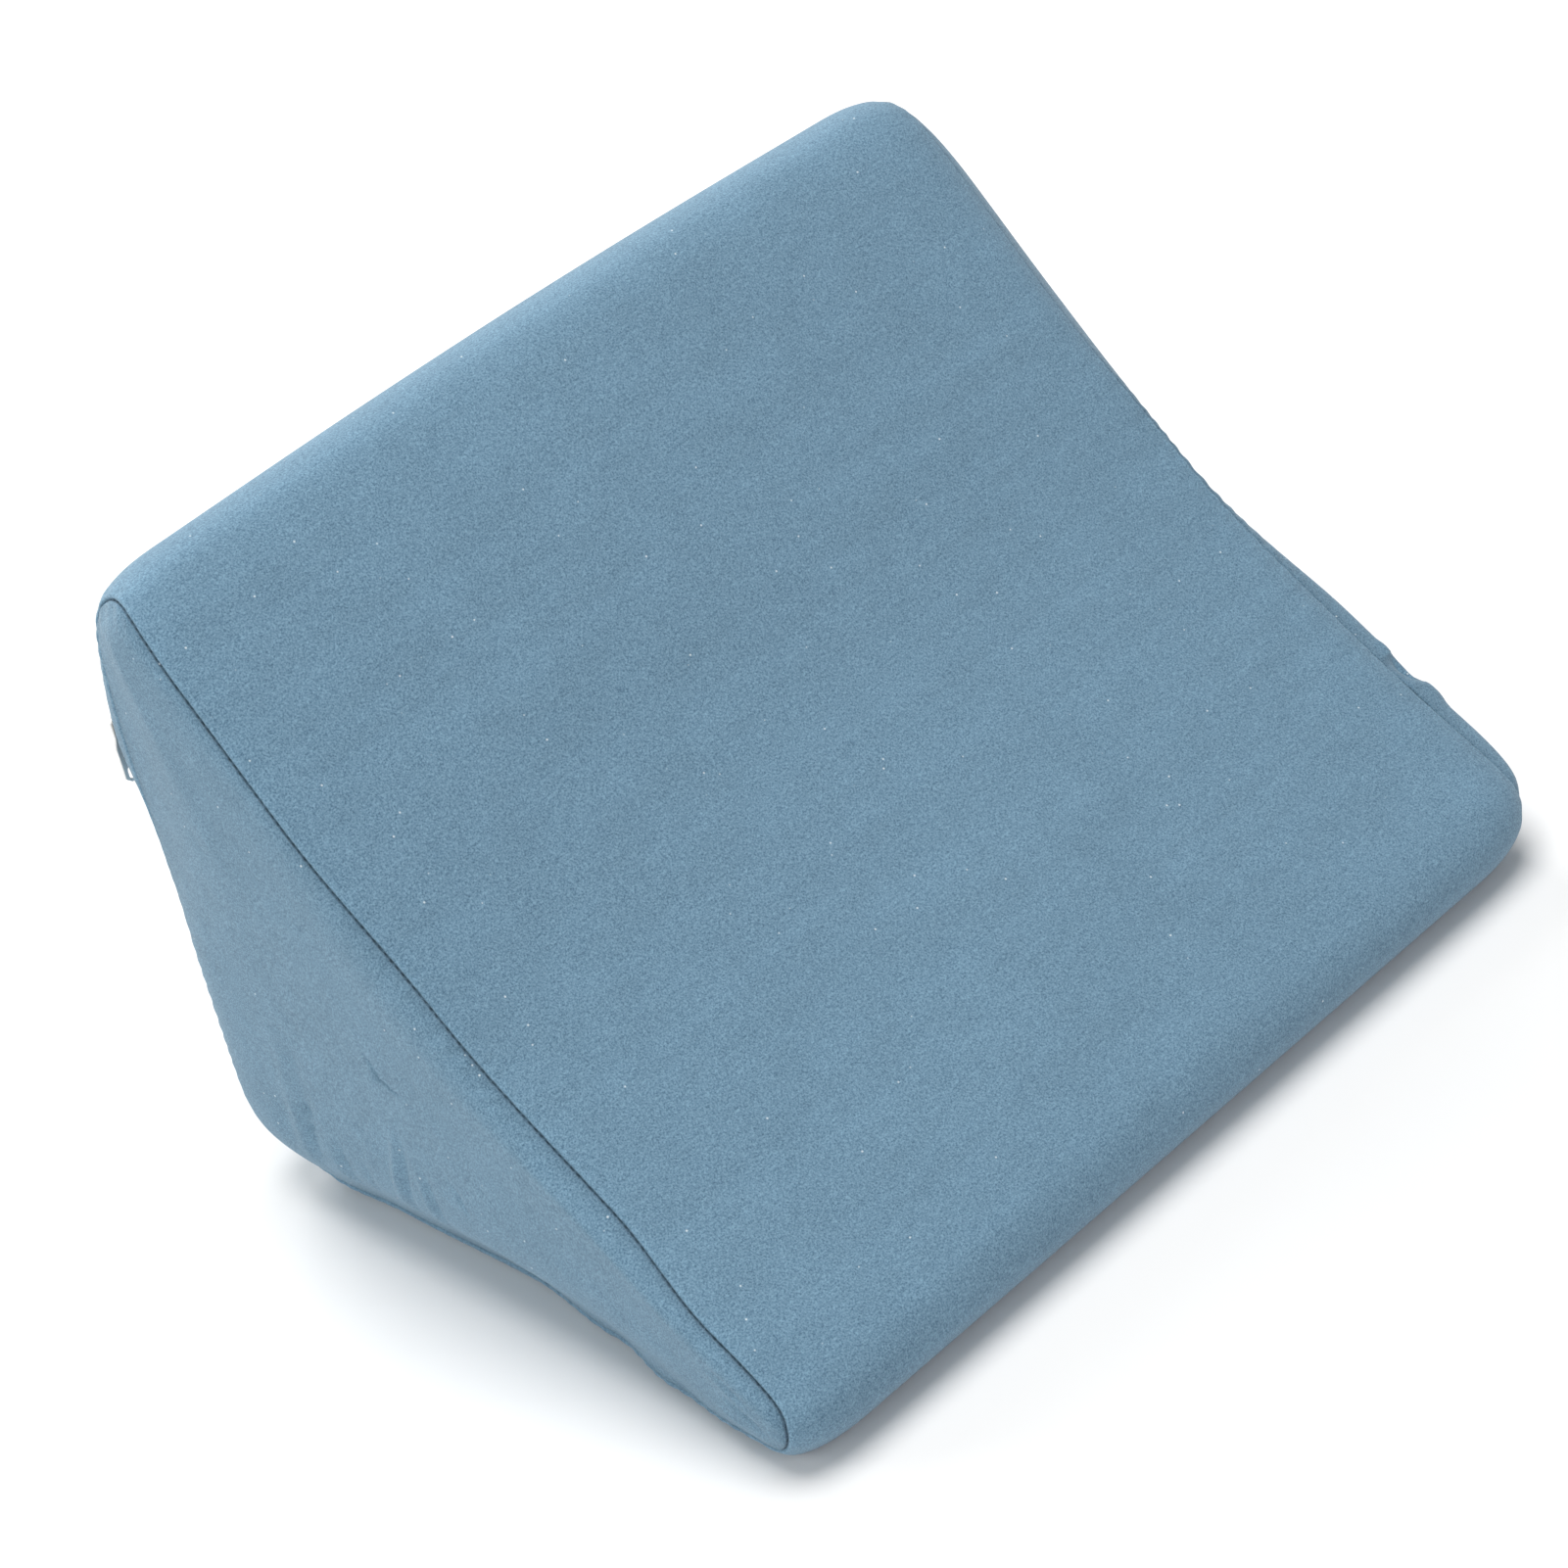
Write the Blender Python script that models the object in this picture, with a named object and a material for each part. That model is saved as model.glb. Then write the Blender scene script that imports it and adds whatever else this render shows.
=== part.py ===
# Wedge pillow: one wrap panel round the back, slope, nose and base, a side gusset at each end, and
# a zip across the back. Metres, +Z up, +X across the width, the thin nose towards -Y and the tall
# back towards +Y. The origin is on the floor under the middle of the box.

from collections import namedtuple
from math import cos, pi, radians, sin

import bmesh
import bpy
import numpy as np
from mathutils import Matrix, Vector

# Side outline, followed by both side seams: a right-angled triangle with rounded corners
OUTLINE_LENGTH = 0.3463      # from nose corner to back corner, before rounding
OUTLINE_HEIGHT = 0.3166     # from base seam to top corner, before rounding
BASE_SEAM_HEIGHT = 0.0060   # base seam above the floor
TOP_RADIUS = 0.0205
NOSE_RADIUS = 0.0155
HEEL_RADIUS = 0.0445
SLOPE_DIP = 0.0213          # hollow of the slope below a straight line
SLOPE_DIP_LOWER = 0.0029    # how much more of that hollow lies towards the nose
CORNER_SOFTENING = 3        # smoothing passes that blend the arcs into the edges

# Width: the side seams lie this far either side of the middle, where nothing draws them in
HALF_SEAM_SPAN = 0.225
GUSSET_CROWN = 0.009        # middle of each gusset, outside those seams
SLACK_SEAM = 0.012          # a gusset drawn in this far leans in evenly to its seam

# Points along each stretch of the outline
STRETCH_POINTS = {"top": 10, "slope": 24, "nose": 12, "base": 40, "heel": 12, "back": 18}

# Places round the outline and the shape of the cloth there, in metres. crown: how far the wrap
# panel stands off the seam. roll: how far in from the seam it reaches that. belly: extra height
# at mid width. near_in, far_in: how far the seams are drawn in. near_out, far_out: how far each
# gusset bulges past the undrawn seam. gusset_roll: how far from the seam it reaches that.
Place = namedtuple("Place", "stretch share crown roll belly near_in far_in near_out far_out gusset_roll")
PLACES = (
    Place("top", 0.50, 0.0069, 0.0277, 0.0043, 0.0042, 0.0082, 0.0046, -0.0004, 0.0306),
    Place("slope", 0.08, 0.0051, 0.0198, 0.0030, -0.0026, 0.0067, 0.0068, 0.0070, 0.0181),
    Place("slope", 0.25, 0.0036, 0.0100, 0.0026, -0.0028, 0.0072, 0.0070, 0.0075, 0.0196),
    Place("slope", 0.50, 0.0020, 0.0090, 0.0010, 0.0012, 0.0034, 0.0080, 0.0040, 0.0165),
    Place("slope", 0.78, 0.0042, 0.0100, 0.0031, 0.0029, -0.0004, 0.0080, 0.0110, 0.0050),
    Place("slope", 0.95, 0.0041, 0.0142, 0.0031, -0.0028, -0.0010, 0.0100, 0.0115, 0.0064),
    Place("nose", 0.50, 0.0098, 0.0360, 0.0000, -0.0042, 0.0020, 0.0084, 0.0006, 0.0060),
    Place("base", 0.07, 0.0090, 0.0160, 0.0000, -0.0024, 0.0020, 0.0088, 0.0030, 0.0120),
    Place("base", 0.22, 0.0090, 0.0120, 0.0000, 0.0008, 0.0040, 0.0058, 0.0050, 0.0226),
    Place("base", 0.38, 0.0090, 0.0100, 0.0000, 0.0082, 0.0100, 0.0020, 0.0040, 0.0330),
    Place("base", 0.60, 0.0090, 0.0100, 0.0000, 0.0140, 0.0160, 0.0000, 0.0020, 0.0360),
    Place("base", 0.90, 0.0090, 0.0110, 0.0000, 0.0128, 0.0120, -0.0002, 0.0020, 0.0320),
    Place("heel", 0.18, 0.0086, 0.0150, 0.0000, 0.0086, 0.0080, 0.0040, 0.0030, 0.0320),
    Place("heel", 0.80, 0.0104, 0.0200, 0.0000, 0.0014, 0.0014, 0.0104, 0.0050, 0.0311),
    Place("back", 0.30, 0.0068, 0.0240, 0.0020, -0.0002, 0.0000, 0.0084, 0.0080, 0.0278),
    Place("back", 0.55, 0.0082, 0.0170, 0.0025, -0.0008, 0.0000, 0.0046, 0.0060, 0.0300),
    Place("back", 0.80, 0.0134, 0.0070, 0.0030, -0.0022, 0.0000, 0.0036, 0.0040, 0.0330),
)

# Distances from the seam, in metres, at which the cloth gets a row of points
PANEL_STEPS = (0.002, 0.005, 0.010, 0.018, 0.032, 0.058, 0.100, 0.160)
GUSSET_STEPS = (0.0015, 0.004, 0.008, 0.014, 0.023, 0.036, 0.055)
GUSSET_SHARES = (0.35, 0.65)  # further rows, as shares of the way left to the middle

# Folds in the gussets that start at a seam: where on the outline, which way they run from the
# seam (degrees above +Y), how long and wide they are, and how far they stand out, or in if minus
Fold = namedtuple("Fold", "side stretch share heading length width height")
FOLDS = (
    Fold("near", "base", 0.545, 50, 0.045, 0.0080, -0.0012),
    Fold("near", "base", 0.665, 104, 0.060, 0.0080, -0.0018),
    Fold("near", "base", 0.800, 62, 0.050, 0.0080, -0.0016),
    Fold("near", "base", 0.925, 90, 0.095, 0.0080, -0.0032),
    Fold("near", "base", 0.975, 90, 0.095, 0.0080, 0.0022),
    Fold("far", "slope", 0.740, 245, 0.045, 0.0080, 0.0030),
    Fold("far", "slope", 0.790, 250, 0.040, 0.0070, -0.0035),
    Fold("far", "slope", 0.835, 255, 0.045, 0.0080, 0.0034),
    Fold("far", "base", 0.600, 70, 0.060, 0.0090, -0.0018),
    Fold("far", "base", 0.740, 80, 0.070, 0.0090, -0.0020),
    Fold("far", "base", 0.900, 92, 0.085, 0.0090, -0.0026),
)

# Zip across the back, closed, with its slider at the near end and the pull hanging from it
GAP = 0.0003                # between pieces that touch
ZIP_HEIGHT = 0.2235         # middle of the chain above the floor
ZIP_END = 0.2218            # ends of the slot, either side of the middle
SLOT_WIDTH = 0.0120
SLOT_DEPTH = 0.0022
SLOT_CUT_REACH = 0.0100     # how far the cutter stands out of the cloth
TAPE_THICKNESS = 0.0009
CHAIN_WIDTH = 0.0050
CHAIN_THICKNESS = 0.0018
CHAIN_END = 0.2178          # where the chain stops, short of the far end of the slot
CHAIN_ROUNDING = 0.0005
SLIDER_LENGTH = 0.0140
SLIDER_INSET = 0.0004       # from the near end of the slot
SLIDER_WIDTH = 0.0100       # at the shoulders, which lead towards the near end
SLIDER_TAIL_WIDTH = 0.0070
SLIDER_SHOULDER = 0.0049    # length over which it keeps its full width
SLIDER_CORNER = (0.0014, 0.0020)  # slanted corners of its leading end, along and across
SLIDER_THICKNESS = 0.0036
SLIDER_ROUNDING = 0.0006
BAIL_LENGTH = 0.0092
BAIL_WIDTH = 0.0028
BAIL_THICKNESS = 0.0010
BAIL_CLEARANCE = 0.0024     # space under the bail, which the pull's top bar needs
BAIL_ROOT = 0.0008          # how deep its legs run into the slider
PULL_LENGTH = 0.0300
PULL_WIDTH = 0.0086
PULL_NECK = (0.0064, 0.0085)      # narrow upper stretch, width and length
PULL_FLARE_END = 0.0130           # from the top down to where it is at its widest
PULL_THICKNESS = 0.0012
PULL_TOP_CORNER = 0.0012
PULL_TIP_CORNER = 0.0024
PULL_EYE = (0.0026, 0.0036)       # hole that the bail passes through, width and height
PULL_WINDOW = (0.0046, 0.0058)    # hole at the lower end
PULL_RIM = 0.0013                 # metal left round both holes
PULL_ROUNDING = 0.0002

COVER_COLOUR = (0.147, 0.275, 0.376, 1.0)
TAPE_COLOUR = (0.060, 0.110, 0.150, 1.0)
CHAIN_COLOUR = (0.100, 0.150, 0.190, 1.0)
METAL_COLOUR = (0.560, 0.555, 0.540, 1.0)


def clear_scene():
    for obj in list(bpy.data.objects):
        bpy.data.objects.remove(obj, do_unlink=True)


def make_material(name, colour, roughness, metallic=0.0):
    material = bpy.data.materials.new(name)
    material.use_nodes = True
    shader = material.node_tree.nodes["Principled BSDF"]
    shader.inputs["Base Color"].default_value = colour
    shader.inputs["Roughness"].default_value = roughness
    shader.inputs["Metallic"].default_value = metallic
    return material


def make_object(name, mesh_data, material):
    mesh = bpy.data.meshes.new(name)
    mesh_data.to_mesh(mesh)
    mesh_data.free()
    mesh.materials.append(material)
    obj = bpy.data.objects.new(name, mesh)
    bpy.context.scene.collection.objects.link(obj)
    return obj


def corner_arc(before, corner, after, radius, count):
    # Arc that rounds one corner of the outline, from its first tangent point to its last
    to_before = (before - corner) / np.linalg.norm(before - corner)
    to_after = (after - corner) / np.linalg.norm(after - corner)
    half_angle = np.arccos(to_before @ to_after) / 2
    bisector = (to_before + to_after) / np.linalg.norm(to_before + to_after)
    centre = corner + bisector * radius / np.sin(half_angle)
    start = corner + to_before * radius / np.tan(half_angle) - centre
    end = corner + to_after * radius / np.tan(half_angle) - centre
    first = np.arctan2(start[1], start[0])
    sweep = (np.arctan2(end[1], end[0]) - first) % (2 * pi)
    angles = first + sweep * np.linspace(0, 1, count)
    return centre + radius * np.column_stack((np.cos(angles), np.sin(angles)))


def straight_edge(start, end, count, dip=0.0, dip_late=0.0):
    # Inner points of an edge, hollowed towards its left by the dips
    share = np.linspace(0, 1, count + 2)[1:-1, None]
    along = (end - start) / np.linalg.norm(end - start)
    inward = np.array((-along[1], along[0]))
    hollow = dip * np.sin(pi * share) - dip_late * np.sin(2 * pi * share)
    return start + (end - start) * share + inward * hollow


def side_outline():
    # The outline as (y, z) points, anticlockwise, and the index range of each stretch
    half = OUTLINE_LENGTH / 2
    top = np.array((half, BASE_SEAM_HEIGHT + OUTLINE_HEIGHT))
    nose = np.array((-half, BASE_SEAM_HEIGHT))
    heel = np.array((half, BASE_SEAM_HEIGHT))
    parts = {
        "top": corner_arc(heel, top, nose, TOP_RADIUS, STRETCH_POINTS["top"]),
        "nose": corner_arc(top, nose, heel, NOSE_RADIUS, STRETCH_POINTS["nose"]),
        "heel": corner_arc(nose, heel, top, HEEL_RADIUS, STRETCH_POINTS["heel"]),
    }
    parts["slope"] = straight_edge(parts["top"][-1], parts["nose"][0], STRETCH_POINTS["slope"],
                                   SLOPE_DIP, SLOPE_DIP_LOWER)
    parts["base"] = straight_edge(parts["nose"][-1], parts["heel"][0], STRETCH_POINTS["base"])
    parts["back"] = straight_edge(parts["heel"][-1], parts["top"][0], STRETCH_POINTS["back"])
    points = np.vstack([parts[name] for name in STRETCH_POINTS])
    for _ in range(CORNER_SOFTENING):
        points = (np.roll(points, 1, 0) + 2 * points + np.roll(points, -1, 0)) / 4
    starts = {}
    index = 0
    for name, count in STRETCH_POINTS.items():
        starts[name] = index
        index += count
    return points, starts


def outline_position(starts, stretch, share):
    return starts[stretch] + share * (STRETCH_POINTS[stretch] - 1)


def cloth_values(starts, count):
    # Each column of PLACES, eased from place to place round the outline
    positions = np.array([outline_position(starts, place.stretch, place.share) for place in PLACES])
    wrapped = np.append(positions, positions[0] + count)
    index = np.arange(count)
    index = np.where(index < positions[0], index + count, index)
    after = np.searchsorted(wrapped, index, side="right")
    before = after - 1
    share = (index - wrapped[before]) / (wrapped[np.minimum(after, len(positions))] - wrapped[before])
    eased = (1 - np.cos(pi * share)) / 2
    values = {}
    for column in Place._fields[2:]:
        heights = np.array([getattr(place, column) for place in PLACES])
        first = heights[before % len(PLACES)]
        second = heights[after % len(PLACES)]
        values[column] = first + (second - first) * eased
    return values


def quarter_round(distance, width):
    # Rises from 0 to 1 over the width, steeply first, like a rolled edge
    share = np.clip(distance / width, 0, 1)
    return np.sqrt(1 - (1 - share) ** 2)


def fold_height(side, points, outline, starts):
    # How far the folds of one gusset move its points outwards
    total = np.zeros(len(points))
    for fold in FOLDS:
        if fold.side != side:
            continue
        position = outline_position(starts, fold.stretch, fold.share)
        lower = int(position)
        start = outline[lower] + (outline[lower + 1] - outline[lower]) * (position - lower)
        heading = np.array((cos(radians(fold.heading)), sin(radians(fold.heading))))
        along = (points - start) @ heading
        across = (points - start) @ np.array((-heading[1], heading[0]))
        share = np.clip(along / fold.length, 0, 1)
        taper = np.sin(pi * np.sqrt(share))
        spread = fold.width * (0.6 + 0.8 * share)
        total += fold.height * taper * np.exp(-(across / spread) ** 2)
    return total


def seam_distance(points, outline):
    # Shortest distance from each point to the outline
    start = outline[None]
    edge = (np.roll(outline, -1, 0) - outline)[None]
    offset = points[:, None] - start
    share = np.clip((offset * edge).sum(2) / (edge ** 2).sum(2), 0, 1)
    return np.linalg.norm(offset - edge * share[..., None], axis=2).min(axis=1)


def spread_inwards(points, outline, column):
    # Values of the outline carried in to the given points, the nearer the stronger
    squared = ((points[:, None] - outline[None]) ** 2).sum(2) + 1e-9
    weight = squared ** -1.5
    return (weight * column).sum(1) / weight.sum(1)


def gusset_rows(side, outline, starts, values):
    # Rows of points from the seam in towards the middle of one gusset, and its middle point
    sign = -1 if side == "near" else 1
    middle = outline.mean(axis=0)
    ray = middle - outline
    reach = np.linalg.norm(ray, axis=1)
    ray = ray / reach[:, None]
    deepest = seam_distance(middle[None], outline)[0]
    last = GUSSET_STEPS[-1]
    distances = [np.full(len(outline), step) for step in GUSSET_STEPS]
    distances += [last + (reach - last) * share for share in GUSSET_SHARES]
    rows = []
    for distance in distances:
        points = outline + ray * distance[:, None]
        inset = seam_distance(points, outline)
        drawn_in, bulge, roll = (spread_inwards(points, outline, values[name])
                                 for name in (side + "_in", side + "_out", "gusset_roll"))
        inward = np.clip(inset / deepest, 0, 1)
        level = bulge + (GUSSET_CROWN - bulge) * inward * inward * (3 - 2 * inward)
        rounded = quarter_round(inset, roll)
        leaning = np.sin(pi / 2 * np.clip(inset / roll, 0, 1))
        rounded += (leaning - rounded) * np.clip(drawn_in / SLACK_SEAM, 0, 1)
        width = HALF_SEAM_SPAN - drawn_in + (drawn_in + level) * rounded
        width = width + fold_height(side, points, outline, starts)
        rows.append(np.column_stack((sign * width, points)))
    return rows, np.array((sign * (HALF_SEAM_SPAN + GUSSET_CROWN), middle[0], middle[1]))


def panel_points(outline, values, x):
    # The wrap panel's (y, z) points at the given x, one for each point of the outline
    tangent = np.roll(outline, -1, 0) - np.roll(outline, 1, 0)
    outward = np.column_stack((tangent[:, 1], -tangent[:, 0])) / np.linalg.norm(tangent, axis=1)[:, None]
    near_seam, far_seam = panel_seams(values)
    inset = np.minimum(x - near_seam, far_seam - x)
    share = (x - near_seam) / (far_seam - near_seam)
    height = values["crown"] * quarter_round(inset, values["roll"]) + values["belly"] * np.sin(pi * share)
    points = outline + outward * height[:, None]
    points[:, 1] = np.maximum(points[:, 1], 0)
    return points


def panel_seams(values):
    return -HALF_SEAM_SPAN + values["near_in"], HALF_SEAM_SPAN - values["far_in"]


def panel_rows(outline, values):
    # Rows of points across the wrap panel, from the near seam to the far seam
    near_seam, far_seam = panel_seams(values)
    stations = [near_seam] + [near_seam + step for step in PANEL_STEPS]
    stations += [(near_seam + far_seam) / 2]
    stations += [far_seam - step for step in reversed(PANEL_STEPS)] + [far_seam]
    return [np.column_stack((x, panel_points(outline, values, x))) for x in stations]


def cushion_rows():
    # All rows of the filled solid, from the middle of the near gusset to that of the far one
    outline, starts = side_outline()
    values = cloth_values(starts, len(outline))
    near_rows, near_middle = gusset_rows("near", outline, starts, values)
    far_rows, far_middle = gusset_rows("far", outline, starts, values)
    return near_middle, near_rows[::-1] + panel_rows(outline, values) + far_rows, far_middle


def make_cushion(material):
    near_middle, rows, far_middle = cushion_rows()
    mesh_data = bmesh.new()
    grid = [[mesh_data.verts.new(point) for point in row] for row in rows]
    count = len(grid[0])
    for row, next_row in zip(grid, grid[1:]):
        for i in range(count):
            j = (i + 1) % count
            mesh_data.faces.new((row[i], row[j], next_row[j], next_row[i]))
    for middle, row in ((near_middle, grid[0]), (far_middle, grid[-1])):
        centre = mesh_data.verts.new(middle)
        for i in range(count):
            mesh_data.faces.new((centre, row[i], row[(i + 1) % count]))
    bmesh.ops.recalc_face_normals(mesh_data, faces=mesh_data.faces)
    return make_object("cushion", mesh_data, material)


def upright_plate(outline, y_range):
    # A plate parallel to the back, from an outline of (x, z) points
    mesh_data = bmesh.new()
    face = mesh_data.faces.new([mesh_data.verts.new((x, y_range[0], z)) for x, z in outline])
    grown = bmesh.ops.extrude_face_region(mesh_data, geom=[face])
    moved = [item for item in grown["geom"] if isinstance(item, bmesh.types.BMVert)]
    bmesh.ops.translate(mesh_data, verts=moved, vec=(0, y_range[1] - y_range[0], 0))
    bmesh.ops.recalc_face_normals(mesh_data, faces=mesh_data.faces)
    return mesh_data


def combine(target, tool_mesh, operation):
    # Cut or join a helper shape, which stays as a hidden wire object
    tool = make_object(target.name + "_helper", tool_mesh, target.data.materials[0])
    tool.hide_render = True
    tool.display_type = "WIRE"
    modifier = target.modifiers.new(operation.lower(), "BOOLEAN")
    modifier.operation = operation
    modifier.object = tool


def soften_edges(obj, width, segments=2):
    modifier = obj.modifiers.new("soft_edges", "BEVEL")
    modifier.width = width
    modifier.segments = segments
    modifier.limit_method = "ANGLE"
    modifier.angle_limit = radians(40)


def back_surface(outline, values, starts, x, heights):
    # How far back the back panel reaches at the given x and heights
    first = starts["back"]
    points = panel_points(outline, values, np.full(len(outline), x))[first:first + STRETCH_POINTS["back"]]
    return np.interp(heights, points[:, 1], points[:, 0])


def back_strip(x_from, x_to, height, inner, outer):
    # A closed strip across the back that keeps the given depths inner and outer under its surface
    outline, starts = side_outline()
    values = cloth_values(starts, len(outline))
    steps = [HALF_SEAM_SPAN - step for step in PANEL_STEPS]
    stations = [-step for step in steps] + [0] + steps[::-1]
    stations = [x_from] + [x for x in stations if x_from < x < x_to] + [x_to]
    mesh_data = bmesh.new()
    rings = []
    for x in stations:
        heights = (ZIP_HEIGHT - height / 2, ZIP_HEIGHT + height / 2)
        low, high = back_surface(outline, values, starts, x, heights)
        corners = ((low - inner, heights[0]), (high - inner, heights[1]),
                   (high - outer, heights[1]), (low - outer, heights[0]))
        rings.append([mesh_data.verts.new((x, y, z)) for y, z in corners])
    for ring, next_ring in zip(rings, rings[1:]):
        for i in range(4):
            j = (i + 1) % 4
            mesh_data.faces.new((ring[i], ring[j], next_ring[j], next_ring[i]))
    mesh_data.faces.new(rings[0])
    mesh_data.faces.new(rings[-1])
    bmesh.ops.recalc_face_normals(mesh_data, faces=mesh_data.faces)
    return mesh_data


def cut_zip_slot(cushion):
    combine(cushion, back_strip(-ZIP_END, ZIP_END, SLOT_WIDTH, SLOT_DEPTH, -SLOT_CUT_REACH), "DIFFERENCE")


def make_zip_tape(material):
    inner = SLOT_DEPTH - GAP
    mesh_data = back_strip(-ZIP_END + GAP, ZIP_END - GAP, SLOT_WIDTH - 2 * GAP, inner, inner - TAPE_THICKNESS)
    return make_object("zip_tape", mesh_data, material)


def slider_near_end():
    return -ZIP_END + SLIDER_INSET


def slider_middle():
    return slider_near_end() + SLIDER_LENGTH / 2


def slider_back():
    # The slider's inner face, just clear of the tape at its highest
    outline, starts = side_outline()
    values = cloth_values(starts, len(outline))
    x = slider_near_end() + SLIDER_LENGTH
    heights = (ZIP_HEIGHT - SLIDER_WIDTH / 2, ZIP_HEIGHT + SLIDER_WIDTH / 2)
    surface = back_surface(outline, values, starts, x, heights)
    return max(surface) - SLOT_DEPTH + TAPE_THICKNESS + 2 * GAP


def make_zip_chain(material):
    inner = SLOT_DEPTH - TAPE_THICKNESS - 2 * GAP
    start = slider_near_end() + SLIDER_LENGTH + GAP
    mesh_data = back_strip(start, CHAIN_END, CHAIN_WIDTH, inner, inner - CHAIN_THICKNESS)
    chain = make_object("zip_chain", mesh_data, material)
    soften_edges(chain, CHAIN_ROUNDING)
    return chain


def make_zip_slider(material):
    # Flat body, widest at its shoulders, with a bail arched over it
    wide = SLIDER_WIDTH / 2
    narrow = SLIDER_TAIL_WIDTH / 2
    nose = slider_near_end()
    half_outline = ((nose, wide - SLIDER_CORNER[1]), (nose + SLIDER_CORNER[0], wide),
                    (nose + SLIDER_SHOULDER, wide), (nose + SLIDER_LENGTH, narrow))
    outline = [(x, ZIP_HEIGHT + z) for x, z in half_outline]
    outline += [(x, ZIP_HEIGHT - z) for x, z in reversed(half_outline)]
    back = slider_back()
    slider = make_object("zip_slider", upright_plate(outline, (back, back + SLIDER_THICKNESS)), material)
    soften_edges(slider, SLIDER_ROUNDING)
    combine(slider, bail_mesh(back + SLIDER_THICKNESS), "UNION")
    return slider


def bail_mesh(body_face):
    # A strip that rises from the body, slants in, runs along it and comes down again
    reach = BAIL_LENGTH / 2
    crown = body_face + BAIL_CLEARANCE
    shoulder = body_face + BAIL_CLEARANCE / 2
    flat = reach - BAIL_CLEARANCE / 2
    root = body_face - BAIL_ROOT
    outer = [(reach, root), (reach, shoulder + BAIL_THICKNESS / 2), (flat, crown + BAIL_THICKNESS)]
    inner = [(reach - BAIL_THICKNESS, root), (reach - BAIL_THICKNESS, shoulder),
             (flat - BAIL_THICKNESS / 2, crown)]
    outer += [(-x, y) for x, y in reversed(outer)]
    inner += [(-x, y) for x, y in reversed(inner)]
    mesh_data = bmesh.new()
    rings = []
    for (outer_x, outer_y), (inner_x, inner_y) in zip(outer, inner):
        section = ((outer_x, outer_y, -1), (outer_x, outer_y, 1),
                   (inner_x, inner_y, 1), (inner_x, inner_y, -1))
        rings.append([mesh_data.verts.new((slider_middle() + x, y, ZIP_HEIGHT + z * BAIL_WIDTH / 2))
                      for x, y, z in section])
    for ring, next_ring in zip(rings, rings[1:]):
        for i in range(4):
            j = (i + 1) % 4
            mesh_data.faces.new((ring[i], ring[j], next_ring[j], next_ring[i]))
    mesh_data.faces.new(rings[0])
    mesh_data.faces.new(rings[-1])
    bmesh.ops.recalc_face_normals(mesh_data, faces=mesh_data.faces)
    return mesh_data


def rounded_rectangle(centre, size, radius, steps=4):
    # Corner arcs of an upright rectangle, as (x, z) points
    points = []
    for sign_x, sign_z, start in ((1, 1, 0), (-1, 1, 90), (-1, -1, 180), (1, -1, 270)):
        for step in range(steps + 1):
            angle = radians(start + 90 * step / steps)
            x = centre[0] + sign_x * (size[0] / 2 - radius) + radius * cos(angle)
            z = centre[1] + sign_z * (size[1] / 2 - radius) + radius * sin(angle)
            points.append((x, z))
    return points


def make_zip_pull(material):
    # A flat tab that hangs by an eye from the bail's near leg, with a window at its lower end
    middle = slider_middle() - BAIL_LENGTH / 2 + BAIL_THICKNESS / 2
    outer_face = slider_back() + SLIDER_THICKNESS + (BAIL_CLEARANCE + PULL_THICKNESS) / 2
    y_range = (outer_face - PULL_THICKNESS, outer_face)
    eye = (middle, ZIP_HEIGHT - PULL_EYE[1] / 2 + BAIL_WIDTH / 2 + GAP)
    top = eye[1] + PULL_EYE[1] / 2 + PULL_RIM
    bottom = top - PULL_LENGTH
    neck = PULL_NECK[0] / 2
    wide = PULL_WIDTH / 2
    right = [(neck - PULL_TOP_CORNER, top), (neck, top - PULL_TOP_CORNER), (neck, top - PULL_NECK[1]),
             (wide, top - PULL_FLARE_END), (wide, bottom + PULL_TIP_CORNER),
             (wide - PULL_TIP_CORNER, bottom)]
    outline = [(middle + x, z) for x, z in right] + [(middle - x, z) for x, z in reversed(right)]
    pull = make_object("zip_pull", upright_plate(outline, y_range), material)
    window = (middle, bottom + PULL_RIM + PULL_WINDOW[1] / 2)
    through = (y_range[0] - PULL_THICKNESS, y_range[1] + PULL_THICKNESS)
    for centre, size in ((eye, PULL_EYE), (window, PULL_WINDOW)):
        combine(pull, upright_plate(rounded_rectangle(centre, size, size[0] / 3), through), "DIFFERENCE")
    soften_edges(pull, PULL_ROUNDING, 1)
    return pull


def stand_on_origin():
    # Put the middle of the finished box over the origin, across and along, on the floor
    bpy.context.view_layer.update()
    graph = bpy.context.evaluated_depsgraph_get()
    corners = []
    for obj in bpy.data.objects:
        if not obj.hide_render:
            finished = obj.evaluated_get(graph)
            corners += [obj.matrix_world @ vertex.co for vertex in finished.data.vertices]
    low = Vector([min(corner[axis] for corner in corners) for axis in range(3)])
    high = Vector([max(corner[axis] for corner in corners) for axis in range(3)])
    shift = Matrix.Translation((-(low.x + high.x) / 2, -(low.y + high.y) / 2, -low.z))
    for obj in bpy.data.objects:
        obj.data.transform(shift)
    print("moved by", [round(value, 6) for value in shift.translation])


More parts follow.
